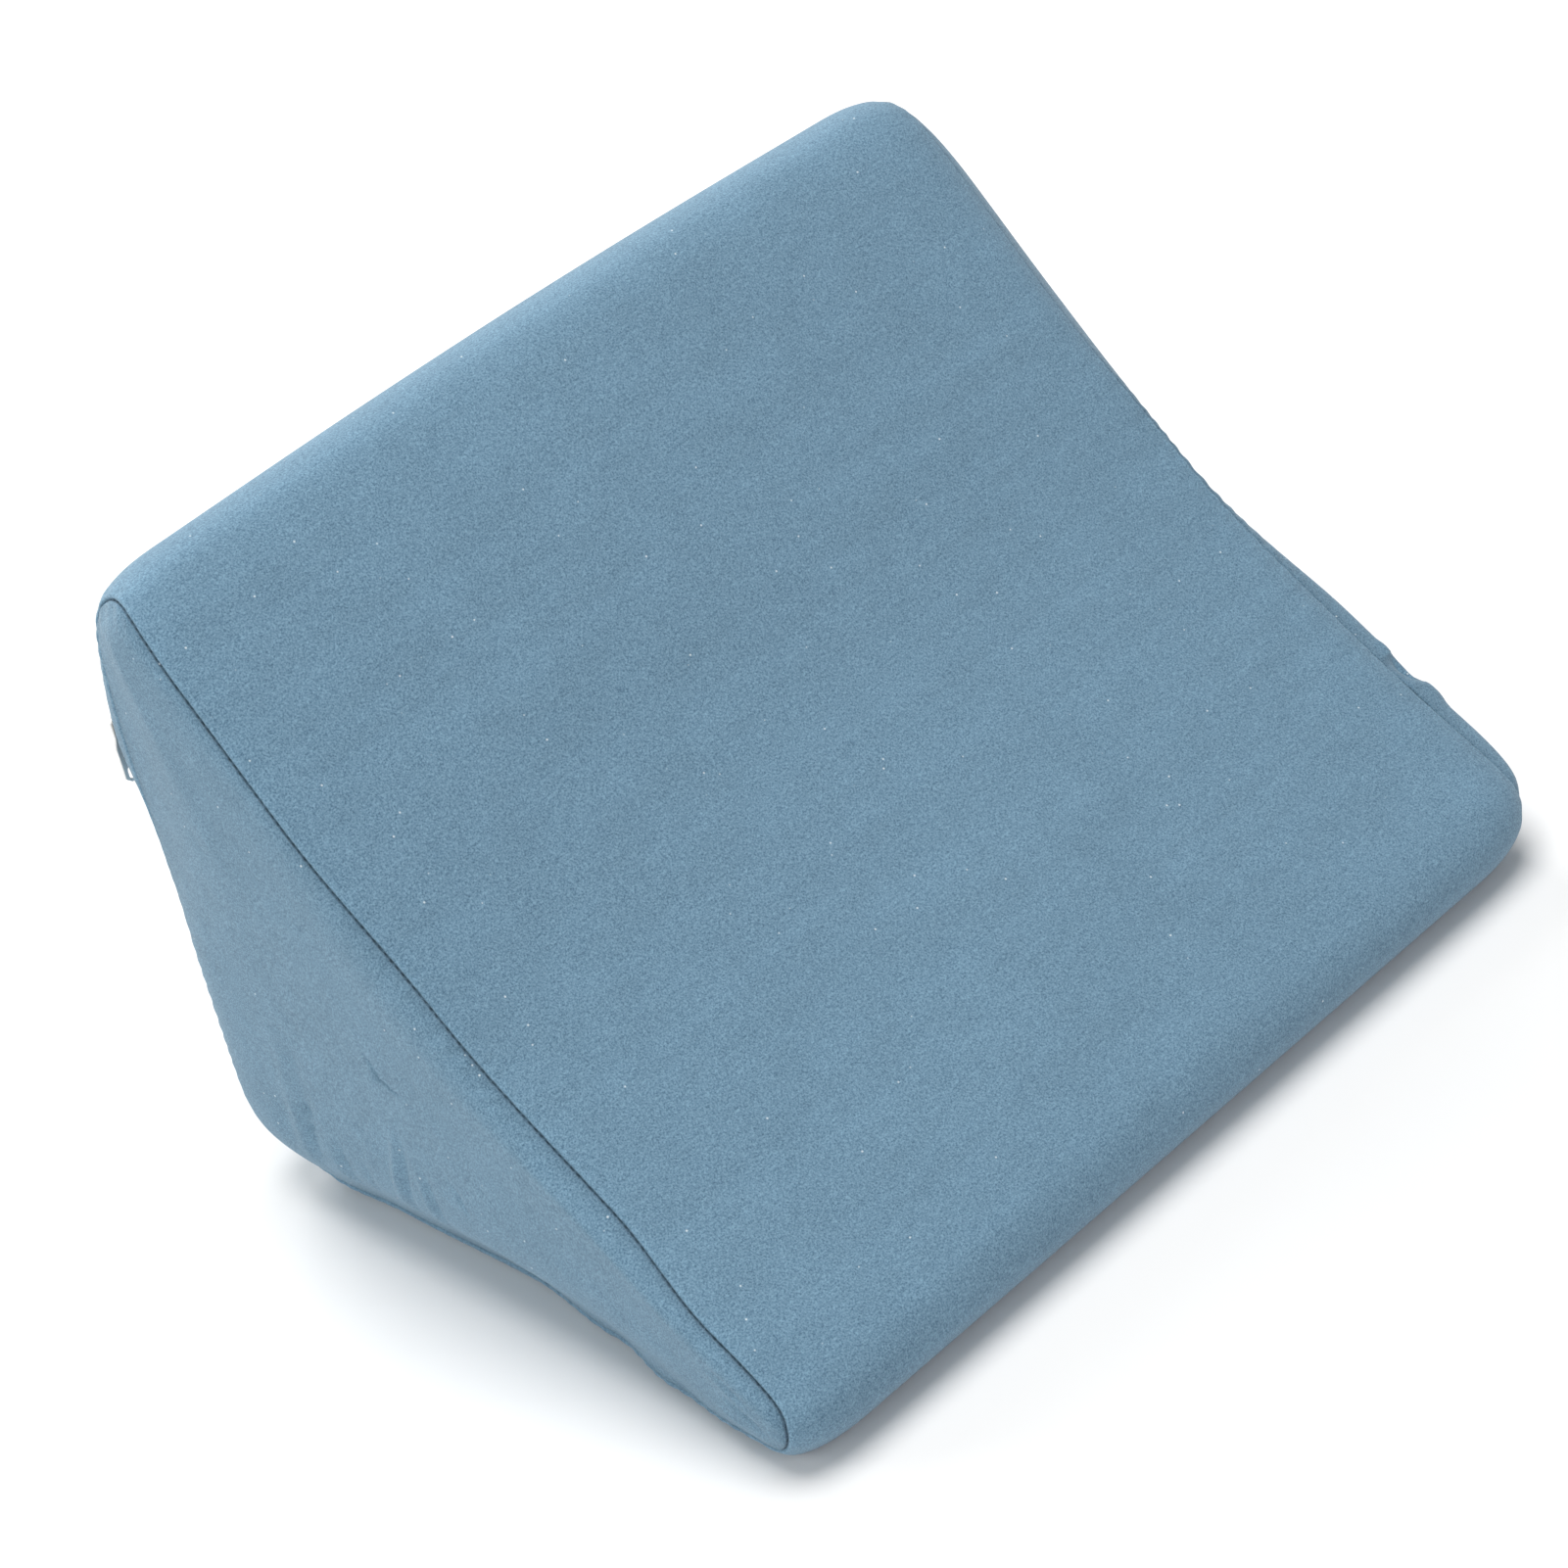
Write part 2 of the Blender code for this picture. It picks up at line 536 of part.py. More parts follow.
def build():
    clear_scene()
    cover = make_material("cover_cloth", COVER_COLOUR, 0.9)
    tape = make_material("zip_tape_weave", TAPE_COLOUR, 0.85)
    chain = make_material("zip_coil_nylon", CHAIN_COLOUR, 0.5)
    metal = make_material("zip_metal", METAL_COLOUR, 0.3, 1.0)
    cushion = make_cushion(cover)
    cut_zip_slot(cushion)
    make_zip_tape(tape)
    make_zip_chain(chain)
    make_zip_slider(metal)
    make_zip_pull(metal)
    for obj in bpy.data.objects:
        obj.data.shade_smooth()
        obj.data.set_sharp_from_angle(angle=radians(50))
    stand_on_origin()


build()
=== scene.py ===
from collections import namedtuple
from math import pi, radians

import bpy
import numpy as np
from mathutils import Matrix, Vector


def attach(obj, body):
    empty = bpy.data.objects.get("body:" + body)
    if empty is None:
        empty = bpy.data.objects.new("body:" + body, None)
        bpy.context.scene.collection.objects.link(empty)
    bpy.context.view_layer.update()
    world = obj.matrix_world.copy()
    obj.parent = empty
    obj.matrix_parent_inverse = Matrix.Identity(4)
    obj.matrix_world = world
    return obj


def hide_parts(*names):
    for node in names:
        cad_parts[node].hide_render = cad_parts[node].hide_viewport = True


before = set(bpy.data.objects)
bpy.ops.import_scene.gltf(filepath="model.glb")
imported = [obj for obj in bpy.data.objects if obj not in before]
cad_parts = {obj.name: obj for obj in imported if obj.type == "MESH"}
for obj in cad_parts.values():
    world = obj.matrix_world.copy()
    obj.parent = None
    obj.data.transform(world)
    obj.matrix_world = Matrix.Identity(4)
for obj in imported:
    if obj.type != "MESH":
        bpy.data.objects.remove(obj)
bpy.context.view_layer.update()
print("frame loaded")


# Camera, floor and light

cameraPlace = {
    "target": (-0.0475, -0.0178, 0.1523),
    "distance": 1.7509,
    "azimuth": -38.22,       # degrees, 0 looks along +Y
    "elevation": 34.0,
    "roll": -13.03,
    "lens": 100.48,
    "sensor": 36.0,
    "nearLimit": 0.05,
}


def placeCamera():
    turn, tilt, roll = (radians(cameraPlace[name]) for name in ("azimuth", "elevation", "roll"))
    facing = Matrix.Rotation(turn, 4, "Z") @ Matrix.Rotation(pi / 2 - tilt, 4, "X")
    facing = facing @ Matrix.Rotation(roll, 4, "Z")
    back = facing.to_3x3() @ Vector((0, 0, 1))
    place = Vector(cameraPlace["target"]) + back * cameraPlace["distance"]
    bpy.ops.object.camera_add(location=place, rotation=facing.to_euler())
    camera = bpy.context.object
    camera.data.lens = cameraPlace["lens"]
    camera.data.sensor_width = cameraPlace["sensor"]
    camera.data.clip_start = cameraPlace["nearLimit"]
    bpy.context.scene.camera = camera


studio = {
    "skyColour": (0.93, 0.98, 1.0),
    "skyStrength": 0.23,
    "floorColour": (0.90, 0.90, 0.90),
    "floorRoughness": 0.9,
    "floorSize": 8,
    "aim": (0, 0, 0.12),       # where the soft boxes point
    # soft boxes: place, size in metres, power in watts, colour
    "softBoxes": (
        ((0.0, 0.3, 2.9), 2.2, 69.0, (1.0, 0.995, 0.99)),
        ((0.6, 2.8, 1.6), 2.0, 58.0, (1.0, 0.975, 0.94)),
        ((-2.7, -0.2, 1.3), 1.8, 14.0, (0.98, 1.0, 0.985)),
        ((-2.2, 2.0, 1.1), 0.9, 16.0, (0.98, 1.0, 0.985)),
        ((-0.6, -2.8, 1.8), 2.0, 20.0, (1.0, 0.95, 0.95)),
    ),
}


def addLight(place, size, power, colour):
    bpy.ops.object.light_add(type="AREA", location=place)
    light = bpy.context.object
    light.rotation_euler = (Vector(studio["aim"]) - Vector(place)).to_track_quat("-Z", "Y").to_euler()
    light.data.shape = "DISK"
    light.data.size = size
    light.data.energy = power
    light.data.color = colour


def addStudio():
    bpy.context.scene.view_settings.view_transform = "Standard"
    world = bpy.data.worlds.new("studioSky")
    world.use_nodes = True
    sky = world.node_tree.nodes["Background"]
    sky.inputs["Color"].default_value = (*studio["skyColour"], 1)
    sky.inputs["Strength"].default_value = studio["skyStrength"]
    bpy.context.scene.world = world
    for softBox in studio["softBoxes"]:
        addLight(*softBox)
    bpy.ops.mesh.primitive_plane_add(size=studio["floorSize"], location=(0, 0, 0))
    floor = bpy.context.object
    floor.name = "floor"
    paint = bpy.data.materials.new("floorPaint")
    paint.use_nodes = True
    shader = paint.node_tree.nodes["Principled BSDF"]
    shader.inputs["Base Color"].default_value = (*studio["floorColour"], 1)
    shader.inputs["Roughness"].default_value = studio["floorRoughness"]
    floor.data.materials.append(paint)


bpy.ops.object.select_all(action="DESELECT")
placeCamera()
addStudio()
print("camera, floor and lights placed")


# Shape of the cover: a side outline, and how the cloth stands off the seams round it

wedge = {
    "length": 0.3463,          # nose corner to back corner, before rounding
    "height": 0.3151,
    "baseSeam": 0.0075,        # height of the base seam above the floor
    "topRadius": 0.0205,
    "noseRadius": 0.0155,
    "heelRadius": 0.0445,
    "slopeDip": 0.0213,
    "slopeDipLower": 0.0029,
    "halfSeamSpan": 0.225,     # from the middle to a side seam that isn't drawn in
    "gussetCrown": 0.009,
    "gussetBlend": 1.5,        # how quickly the seam's values fade into the gusset
    "slackSeam": 0.012,        # a gusset drawn in this far leans in evenly to its seam
    "baseLean": 1.0,           # how much every gusset leans in evenly to the seam along the base
    "boxMiddle": (-0.00170, -0.01776),   # moves the cover onto the frame's origin
    "stretchPoints": {"top": 10, "slope": 24, "nose": 12, "base": 40, "heel": 12, "back": 18},
    "detail": 8,               # finer points for each of those
    "softening": 3,            # rounds of smoothing where the stretches meet
    "outlineCount": 640,       # points round the finished cover
}

zipPlace = {
    "height": 0.2235,         # middle of the chain above the floor
    "end": 0.2218,            # ends of the slot, either side of the middle
    "slotWidth": 0.0120,
    "slotDepth": 0.0022,
    "edgeStep": 0.0003,       # half of the width over which the slot's edge falls
    "backFrom": 0.12,         # the cloth that lies further back than this is the back's
    "heldBand": 0.020,        # the filling leaves the cloth alone this near to the zip
    "stitchGap": 0.0026,      # from the slot's edge to the line of stitches beside it
}

meshSteps = {
    "edge": (0.000015, 0.00006, 0.00014, 0.00025),   # rows right beside a seam, where the cloth turns
    "first": 0.0004,
    "growth": 1.2,
    "largest": 0.0055,
    "rim": 0.055,             # width beside a seam where the rows follow it
    "middleRows": 12,         # shares of the way from there to a gusset's middle
}

ClothPlace = namedtuple("ClothPlace", "stretch share crown roll belly nearIn farIn nearOut farOut gussetRoll")
clothPlaces = (
    ClothPlace("top", 0.50, 0.0069, 0.0277, 0.0043, 0.0042, 0.0082, 0.0046, -0.0004, 0.0306),
    ClothPlace("slope", 0.08, 0.0051, 0.0198, 0.0030, -0.0026, 0.0067, 0.0068, 0.0070, 0.0181),
    ClothPlace("slope", 0.25, 0.0036, 0.0100, 0.0026, -0.0028, 0.0072, 0.0070, 0.0075, 0.0196),
    ClothPlace("slope", 0.50, 0.0020, 0.0090, 0.0010, 0.0012, 0.0034, 0.0080, 0.0040, 0.0165),
    ClothPlace("slope", 0.78, 0.0038, 0.0130, 0.0034, 0.0036, 0.0004, 0.0080, 0.0110, 0.0050),
    ClothPlace("slope", 0.95, 0.0036, 0.0180, 0.0036, -0.0026, 0.0004, 0.0100, 0.0115, 0.0064),
    ClothPlace("nose", 0.50, 0.0106, 0.0360, 0.0004, -0.0058, 0.0020, 0.0084, 0.0006, 0.0060),
    ClothPlace("base", 0.07, 0.0090, 0.0160, 0.0000, -0.0038, 0.0020, 0.0084, 0.0030, 0.0150),
    ClothPlace("base", 0.22, 0.0090, 0.0110, 0.0000, -0.0006, 0.0040, 0.0048, 0.0050, 0.0300),
    ClothPlace("base", 0.38, 0.0090, 0.0090, 0.0000, 0.0068, 0.0100, 0.0014, 0.0040, 0.0400),
    ClothPlace("base", 0.60, 0.0090, 0.0090, 0.0000, 0.0126, 0.0160, -0.0004, 0.0020, 0.0400),
    ClothPlace("base", 0.90, 0.0090, 0.0110, 0.0000, 0.0106, 0.0120, -0.0002, 0.0020, 0.0340),
    ClothPlace("heel", 0.18, 0.0090, 0.0150, 0.0000, 0.0076, 0.0080, 0.0040, 0.0030, 0.0320),
    ClothPlace("heel", 0.80, 0.0104, 0.0200, 0.0000, 0.0014, 0.0014, 0.0104, 0.0050, 0.0311),
    ClothPlace("back", 0.30, 0.0068, 0.0240, 0.0020, -0.0002, 0.0000, 0.0084, 0.0080, 0.0278),
    ClothPlace("back", 0.55, 0.0082, 0.0170, 0.0025, -0.0008, 0.0000, 0.0046, 0.0060, 0.0300),
    ClothPlace("back", 0.80, 0.0134, 0.0070, 0.0030, -0.0022, 0.0000, 0.0036, 0.0040, 0.0330),
)


def cornerArc(before, corner, after, radius, count):
    toBefore = (before - corner) / np.linalg.norm(before - corner)
    toAfter = (after - corner) / np.linalg.norm(after - corner)
    halfAngle = np.arccos(toBefore @ toAfter) / 2
    bisector = (toBefore + toAfter) / np.linalg.norm(toBefore + toAfter)
    centre = corner + bisector * radius / np.sin(halfAngle)
    start = corner + toBefore * radius / np.tan(halfAngle) - centre
    end = corner + toAfter * radius / np.tan(halfAngle) - centre
    first = np.arctan2(start[1], start[0])
    sweep = (np.arctan2(end[1], end[0]) - first) % (2 * pi)
    angles = first + sweep * np.linspace(0, 1, count)
    return centre + radius * np.column_stack((np.cos(angles), np.sin(angles)))


def edgePoints(start, end, count, dip=0.0, dipLower=0.0):
    share = np.linspace(0, 1, count + 2)[1:-1, None]
    along = (end - start) / np.linalg.norm(end - start)
    inward = np.array((-along[1], along[0]))
    hollow = dip * np.sin(pi * share) - dipLower * np.sin(2 * pi * share)
    return start + (end - start) * share + inward * hollow


def pinToZip(even, backHeights, backRun):
    # moves the nearest points onto both sides of the slot's two edges
    free = even.copy()
    for side in (-1, 1):
        edge = zipPlace["height"] + side * zipPlace["slotWidth"] / 2
        for offset in (-zipPlace["edgeStep"], zipPlace["edgeStep"]):
            place = np.interp(edge + offset, backHeights, backRun)
            nearest = np.nanargmin(abs(free - place))
            even[nearest] = place
            free[nearest] = np.nan
    return np.sort(even)


def sideOutline():
    # (y, z) points round the side at even steps, and the place of each on the coarse outline
    detail = wedge["detail"]
    counts = {name: count * detail for name, count in wedge["stretchPoints"].items()}
    half = wedge["length"] / 2
    top = np.array((half, wedge["baseSeam"] + wedge["height"]))
    nose = np.array((-half, wedge["baseSeam"]))
    heel = np.array((half, wedge["baseSeam"]))
    parts = {
        "top": cornerArc(heel, top, nose, wedge["topRadius"], counts["top"]),
        "nose": cornerArc(top, nose, heel, wedge["noseRadius"], counts["nose"]),
        "heel": cornerArc(nose, heel, top, wedge["heelRadius"], counts["heel"]),
    }
    parts["slope"] = edgePoints(parts["top"][-1], parts["nose"][0], counts["slope"],
                                wedge["slopeDip"], wedge["slopeDipLower"])
    parts["base"] = edgePoints(parts["nose"][-1], parts["heel"][0], counts["base"])
    parts["back"] = edgePoints(parts["heel"][-1], parts["top"][0], counts["back"])
    points = np.vstack([parts[name] for name in counts])
    for _ in range(wedge["softening"] * detail * detail):
        points = (np.roll(points, 1, 0) + 2 * points + np.roll(points, -1, 0)) / 4
    closed = np.vstack((points, points[:1]))
    run = np.append(0, np.cumsum(np.linalg.norm(np.diff(closed, axis=0), axis=1)))
    even = np.linspace(0, run[-1], wedge["outlineCount"], endpoint=False)
    even = pinToZip(even, closed[-counts["back"]:-1, 1], run[-counts["back"]:-1])
    outline = np.column_stack([np.interp(even, run, closed[:, axis]) for axis in (0, 1)])
    coarsePlace = np.interp(even, run, np.arange(len(closed)) / detail)
    return outline, coarsePlace, even


def clothValues(coarsePlace):
    # each column of clothPlaces, eased from place to place round the outline
    counts = wedge["stretchPoints"]
    starts = dict(zip(counts, np.cumsum([0] + list(counts.values()))))
    total = sum(counts.values())
    spots = [starts[place.stretch] + place.share * (counts[place.stretch] - 1) for place in clothPlaces]
    wrapped = np.append(spots, spots[0] + total)
    index = np.where(coarsePlace < spots[0], coarsePlace + total, coarsePlace)
    after = np.searchsorted(wrapped, index, side="right")
    before = after - 1
    share = (index - wrapped[before]) / (wrapped[np.minimum(after, len(spots))] - wrapped[before])
    eased = (1 - np.cos(pi * share)) / 2
    values = {}
    for column in ClothPlace._fields[2:]:
        heights = np.array([getattr(place, column) for place in clothPlaces])
        first = heights[before % len(clothPlaces)]
        values[column] = first + (heights[after % len(clothPlaces)] - first) * eased
    return values


def growingSteps(total):
    # distances from a seam, close together at first
    steps = [meshSteps["first"]]
    while steps[-1] < total:
        gap = meshSteps["first"] * meshSteps["growth"] ** len(steps)
        steps.append(steps[-1] + min(gap, meshSteps["largest"]))
    return np.append(meshSteps["edge"], np.array(steps) * total / steps[-1])


def quarterRound(distance, width):
    share = np.clip(distance / width, 0, 1)
    return np.sqrt(1 - (1 - share) ** 2)


def seamDistance(points, outline):
    edge = (np.roll(outline, -1, 0) - outline)[None]
    offset = points[:, None] - outline[None]
    share = np.clip((offset * edge).sum(2) / (edge ** 2).sum(2), 0, 1)
    return np.linalg.norm(offset - edge * share[..., None], axis=2).min(axis=1)


def gussetRows(side, outline, values):
    sign = -1 if side == "near" else 1
    middle = outline.mean(axis=0)
    ray = middle - outline
    reach = np.linalg.norm(ray, axis=1)
    ray = ray / reach[:, None]
    deepest = seamDistance(middle[None], outline)[0]
    rim = meshSteps["rim"]
    distances = [np.full(len(outline), step) for step in growingSteps(rim)]
    shares = np.linspace(0, 1, meshSteps["middleRows"] + 1)[1:-1]
    distances += [rim + (reach - rim) * share for share in shares]
    rows = []
    for distance in distances:
        points = outline + ray * distance[:, None]
        inset = seamDistance(points, outline)
        squared = ((points[:, None] - outline[None]) ** 2).sum(2) + 1e-9
        weight = squared ** -wedge["gussetBlend"]
        weight /= weight.sum(1)[:, None]
        drawnIn, bulge, roll, lean = (weight @ values[name] for name in
                                      (side + "In", side + "Out", "gussetRoll", "lean"))
        inward = np.clip(inset / deepest, 0, 1)
        level = bulge + (wedge["gussetCrown"] - bulge) * inward * inward * (3 - 2 * inward)
        rounded = quarterRound(inset, roll)
        leaning = np.sin(pi / 2 * np.clip(inset / roll, 0, 1))
        rounded += (leaning - rounded) * np.maximum(np.clip(drawnIn / wedge["slackSeam"], 0, 1), lean)
        width = wedge["halfSeamSpan"] - drawnIn + (drawnIn + level) * rounded
        rows.append(np.column_stack((sign * width, points)))
    pole = np.array((sign * (wedge["halfSeamSpan"] + wedge["gussetCrown"]), *middle))
    return rows, distances, pole


def outwardAlong(outline):
    # (y, z) directions that point out of the outline
    tangent = np.roll(outline, -1, 0) - np.roll(outline, 1, 0)
    return np.column_stack((tangent[:, 1], -tangent[:, 0])) / np.linalg.norm(tangent, axis=1)[:, None]


def panelRows(outline, values):
    outward = outwardAlong(outline)
    nearSeam = -wedge["halfSeamSpan"] + values["nearIn"]
    farSeam = wedge["halfSeamSpan"] - values["farIn"]
    half = (farSeam - nearSeam) / 2
    rim = meshSteps["rim"]
    full = wedge["halfSeamSpan"]
    steps = np.append(0, growingSteps(full))
    insets = [np.minimum(step, rim) + max(step - rim, 0) * (half - rim) / (full - rim) for step in steps]
    rows, distances = [], []
    for side, sequence in ((1, insets), (-1, insets[-2::-1])):
        for inset in sequence:
            x = nearSeam + inset if side == 1 else farSeam - inset
            share = (x - nearSeam) / (farSeam - nearSeam)
            height = values["crown"] * quarterRound(inset, values["roll"])
            height += values["belly"] * np.sin(pi * share)
            points = outline + outward * height[:, None]
            points[:, 1] = np.maximum(points[:, 1], 0)
            rows.append(np.column_stack((x, points)))
            distances.append(inset + np.zeros(len(outline)))
    return rows, distances


def coverRows():
    # one grid of points from the middle of the near gusset to that of the far one
    outline, coarsePlace, run = sideOutline()
    values = clothValues(coarsePlace)
    values["lean"] = wedge["baseLean"] * np.clip(-outwardAlong(outline)[:, 1], 0, 1)
    near, nearDistances, nearPole = gussetRows("near", outline, values)
    panel, panelDistances = panelRows(outline, values)
    far, farDistances, farPole = gussetRows("far", outline, values)
    cover = {
        "rows": np.array(near[::-1] + panel + far),
        "distances": np.array(nearDistances[::-1] + panelDistances + farDistances),
        "nearSeam": len(near),
        "farSeam": len(near) + len(panel) - 1,
        "poles": np.array((nearPole, farPole)),
        "run": run,
    }
    rows = cover["rows"]
    overSlot = abs(rows[..., 2] - zipPlace["height"]) < zipPlace["slotWidth"] / 2
    behind = rows[..., 1] > wedge["length"] / 3
    cover["slot"] = overSlot & behind & (abs(rows[..., 0]) < zipPlace["end"])
    move = np.array((*wedge["boxMiddle"], 0))
    cover["rows"] += move
    cover["poles"] += move
    return cover


cover = coverRows()
print("cover grid", cover["rows"].shape)


def gridMesh(name, rows, poles):
    # closed mesh over a grid that is joined round each row, with a point at each end
    rowCount, count = rows.shape[:2]
    index = np.arange(rowCount * count).reshape(rowCount, count)
    after = np.roll(index, -1, 1)
    quads = np.stack((index[:-1], after[:-1], after[1:], index[1:]), axis=2).reshape(-1, 4)
    nearPole, farPole = rowCount * count, rowCount * count + 1
    nearFan = np.column_stack((np.full(count, nearPole), after[0], index[0]))
    farFan = np.column_stack((np.full(count, farPole), index[-1], after[-1]))
    mesh = bpy.data.meshes.new(name)
    mesh.from_pydata(np.vstack((rows.reshape(-1, 3), poles)).tolist(), [],
                     quads.tolist() + nearFan.tolist() + farFan.tolist())
    mesh.update()
    piece = bpy.data.objects.new(name, mesh)
    bpy.context.scene.collection.objects.link(piece)
    return piece


# Filling: the cover is blown up from inside with its seams, base and zip held

filling = {
    "pressure": 4.0,
    "slack": -0.004,         # the cloth is this much longer than the foam
    "hold": 0.62,            # how firmly the foam keeps it in place away from the seams
    "clothMass": 0.2,
    "stretchStiffness": 20,
    "shearStiffness": 8,
    "bendStiffness": 0.6,
    "quality": 8,
    "frames": 20,
    "cap": 0.0026,           # the most that any point may move
    "rowSpacing": 0.0090,    # of the rows that the simulation uses
    "seamSpacing": 0.004,    # from a seam to the nearest row before it
    "outlineStep": 5,        # one in this many points of a row is used
    "easing": 2,             # rounds of smoothing of the cloth's movement
    "calmReach": 0.060,      # round each gusset's middle, where the cloth hardly moves
    "baseHeight": 0.004,     # the cloth under this rests on the floor
    "baseReach": 0.035,      # over which the cloth above it comes to move freely
    "seamReach": 0.012,      # over which the cloth beside a seam comes to move freely
}


def trialRows(distances):
    # rows far enough apart for the simulation, both seams among them
    kept = []
    for row in range(len(distances)):
        spread = distances[row].mean()
        apart = not kept or abs(spread - distances[kept[-1]].mean()) >= filling["rowSpacing"]
        if row in (cover["nearSeam"], cover["farSeam"]):
            tooNear = kept and distances[kept[-1]].mean() < filling["seamSpacing"]
            if tooNear and kept[-1] != cover["nearSeam"]:
                kept.pop()
            kept.append(row)
        elif apart:
            kept.append(row)
    return np.array(kept)


def smoothAlong(places, values, wanted):
    # cubic curve through uneven places, along the first axis of values
    slopes = np.gradient(values, places, axis=0)
    after = np.clip(np.searchsorted(places, wanted, side="right"), 1, len(places) - 1)
    before = after - 1
    shape = (-1,) + (1,) * (values.ndim - 1)
    gap = (places[after] - places[before]).reshape(shape)
    t = np.clip((wanted - places[before]).reshape(shape) / gap, 0, 1)
    t2, t3 = t * t, t * t * t
    return ((2 * t3 - 3 * t2 + 1) * values[before] + (t3 - 2 * t2 + t) * gap * slopes[before]
            + (3 * t2 - 2 * t3) * values[after] + (t3 - t2) * gap * slopes[after])


def blowUp(trial, weights):
    # cloth simulation with the points held as firmly as their weights say
    held = trial.vertex_groups.new(name="held")
    for index, weight in enumerate(weights):
        held.add([index], float(weight), "REPLACE")
    bpy.context.view_layer.objects.active = trial
    modifier = trial.modifiers.new("cloth", "CLOTH")
    cloth = modifier.settings
    cloth.quality = filling["quality"]
    cloth.mass = filling["clothMass"]
    cloth.tension_stiffness = filling["stretchStiffness"]
    cloth.compression_stiffness = filling["stretchStiffness"]
    cloth.shear_stiffness = filling["shearStiffness"]
    cloth.bending_stiffness = filling["bendStiffness"]
    cloth.use_pressure = True
    cloth.uniform_pressure_force = filling["pressure"]
    cloth.effector_weights.gravity = 0
    cloth.vertex_group_mass = "held"
    cloth.shrink_min = filling["slack"]
    modifier.collision_settings.use_collision = False
    for number in range(1, filling["frames"] + 1):
        bpy.context.scene.frame_set(number)
    bpy.ops.object.modifier_apply(modifier=modifier.name)
    bpy.context.scene.frame_set(1)
    settled = np.empty(len(trial.data.vertices) * 3)
    trial.data.vertices.foreach_get("co", settled)
    return settled.reshape(-1, 3)


def fillCover():
    kept = trialRows(cover["distances"])
    step = filling["outlineStep"]
    start = cover["rows"][kept][:, ::step]
    seams = np.isin(kept, (cover["nearSeam"], cover["farSeam"]))
    nearZip = abs(start[..., 2] - zipPlace["height"]) < zipPlace["heldBand"]
    nearZip &= start[..., 1] > zipPlace["backFrom"]
    still = seams[:, None] | nearZip | (start[..., 2] < filling["baseHeight"])
    weights = np.where(still, 1, filling["hold"])
    trial = gridMesh("trialCover", start, cover["poles"])
    settled = blowUp(trial, np.append(weights.reshape(-1), (1, 1)))
    bpy.data.objects.remove(trial)
    move = settled[:start.shape[0] * start.shape[1]].reshape(start.shape) - start
    length = np.linalg.norm(move, axis=2, keepdims=True)
    print("filling moved the cloth by up to", round(float(length.max()) * 1000, 1), "mm, on average",
          round(float(length.mean()) * 1000, 2))
    move *= np.minimum(1, filling["cap"] / np.maximum(length, 1e-9))
    for pole in cover["poles"]:
        near = np.clip(np.linalg.norm(start - pole, axis=2) / filling["calmReach"], 0, 1)
        move *= (near * near)[..., None]
    for _ in range(filling["easing"]):
        eased = (np.roll(move, 1, 1) + 2 * move + np.roll(move, -1, 1)) / 4
        eased[1:-1] = (eased[:-2] + 2 * eased[1:-1] + eased[2:]) / 4
        move = np.where(still[..., None], move, eased)
    # back to every row, and then to every point of a row
    move = smoothAlong(kept.astype(float), move, np.arange(len(cover["rows"]), dtype=float))
    around = np.concatenate((move[:, -2:], move, move[:, :3]), axis=1).swapaxes(0, 1)
    places = (np.arange(around.shape[0]) - 2.0) * step
    move = smoothAlong(places, around, np.arange(wedge["outlineCount"], dtype=float)).swapaxes(0, 1)
    # nothing moves at the seams or at the base, and little close to them
    move *= np.clip(cover["distances"] / filling["seamReach"], 0, 1)[..., None]
    return move * np.clip((cover["rows"][..., 2:] - filling["baseHeight"]) / filling["baseReach"], 0, 1)


# the zip's own pieces follow the cloth as it is before the filling
bareRows = cover["rows"].copy()

cover["rows"] = cover["rows"] + fillCover()
print("cover filled")


# Sewing and folds: what the needle, the seams and the folded cloth do to the surface

sewing = {
    "grooveDepth": 0.0007,
    "grooveWidth": 0.0005,
    "lipHeight": 0.00035,
    "lipPlace": 0.0019,
    "lipWidth": 0.0009,
    "gussetLip": 0.35,         # how much of the panel's lip the gusset has
    "puckerHeight": 0.00028,
    "puckerLength": 0.0085,
    "puckerPlace": 0.0042,     # middle and width of the puckered strip beside a seam
    "puckerWidth": 0.0042,
    # uneven spacing and height of the puckers: amount, waves along the seam and start of each wave
    "puckerWander": ((1.3, 61, 0), (0.9, 137, 1)),
    "puckerSwell": (0.4, 23, 2),
    "foldTaper": 0.8,          # how bluntly a fold fades out at its ends
    "stitchPitch": 0.0034,
    "stitchLength": 0.0020,
    "stitchWidth": 0.0006,
    "stitchTaper": 0.0005,     # length over which each end narrows and dives into the cloth
    "stitchTip": 0.45,         # width of that end as a share of the stitch's own
    "stitchSink": 0.0001,      # how far a stitch's middle lies under the cloth round it
    "stitchEndRows": 6,        # rows from a side seam to the stitches beside the zip
}

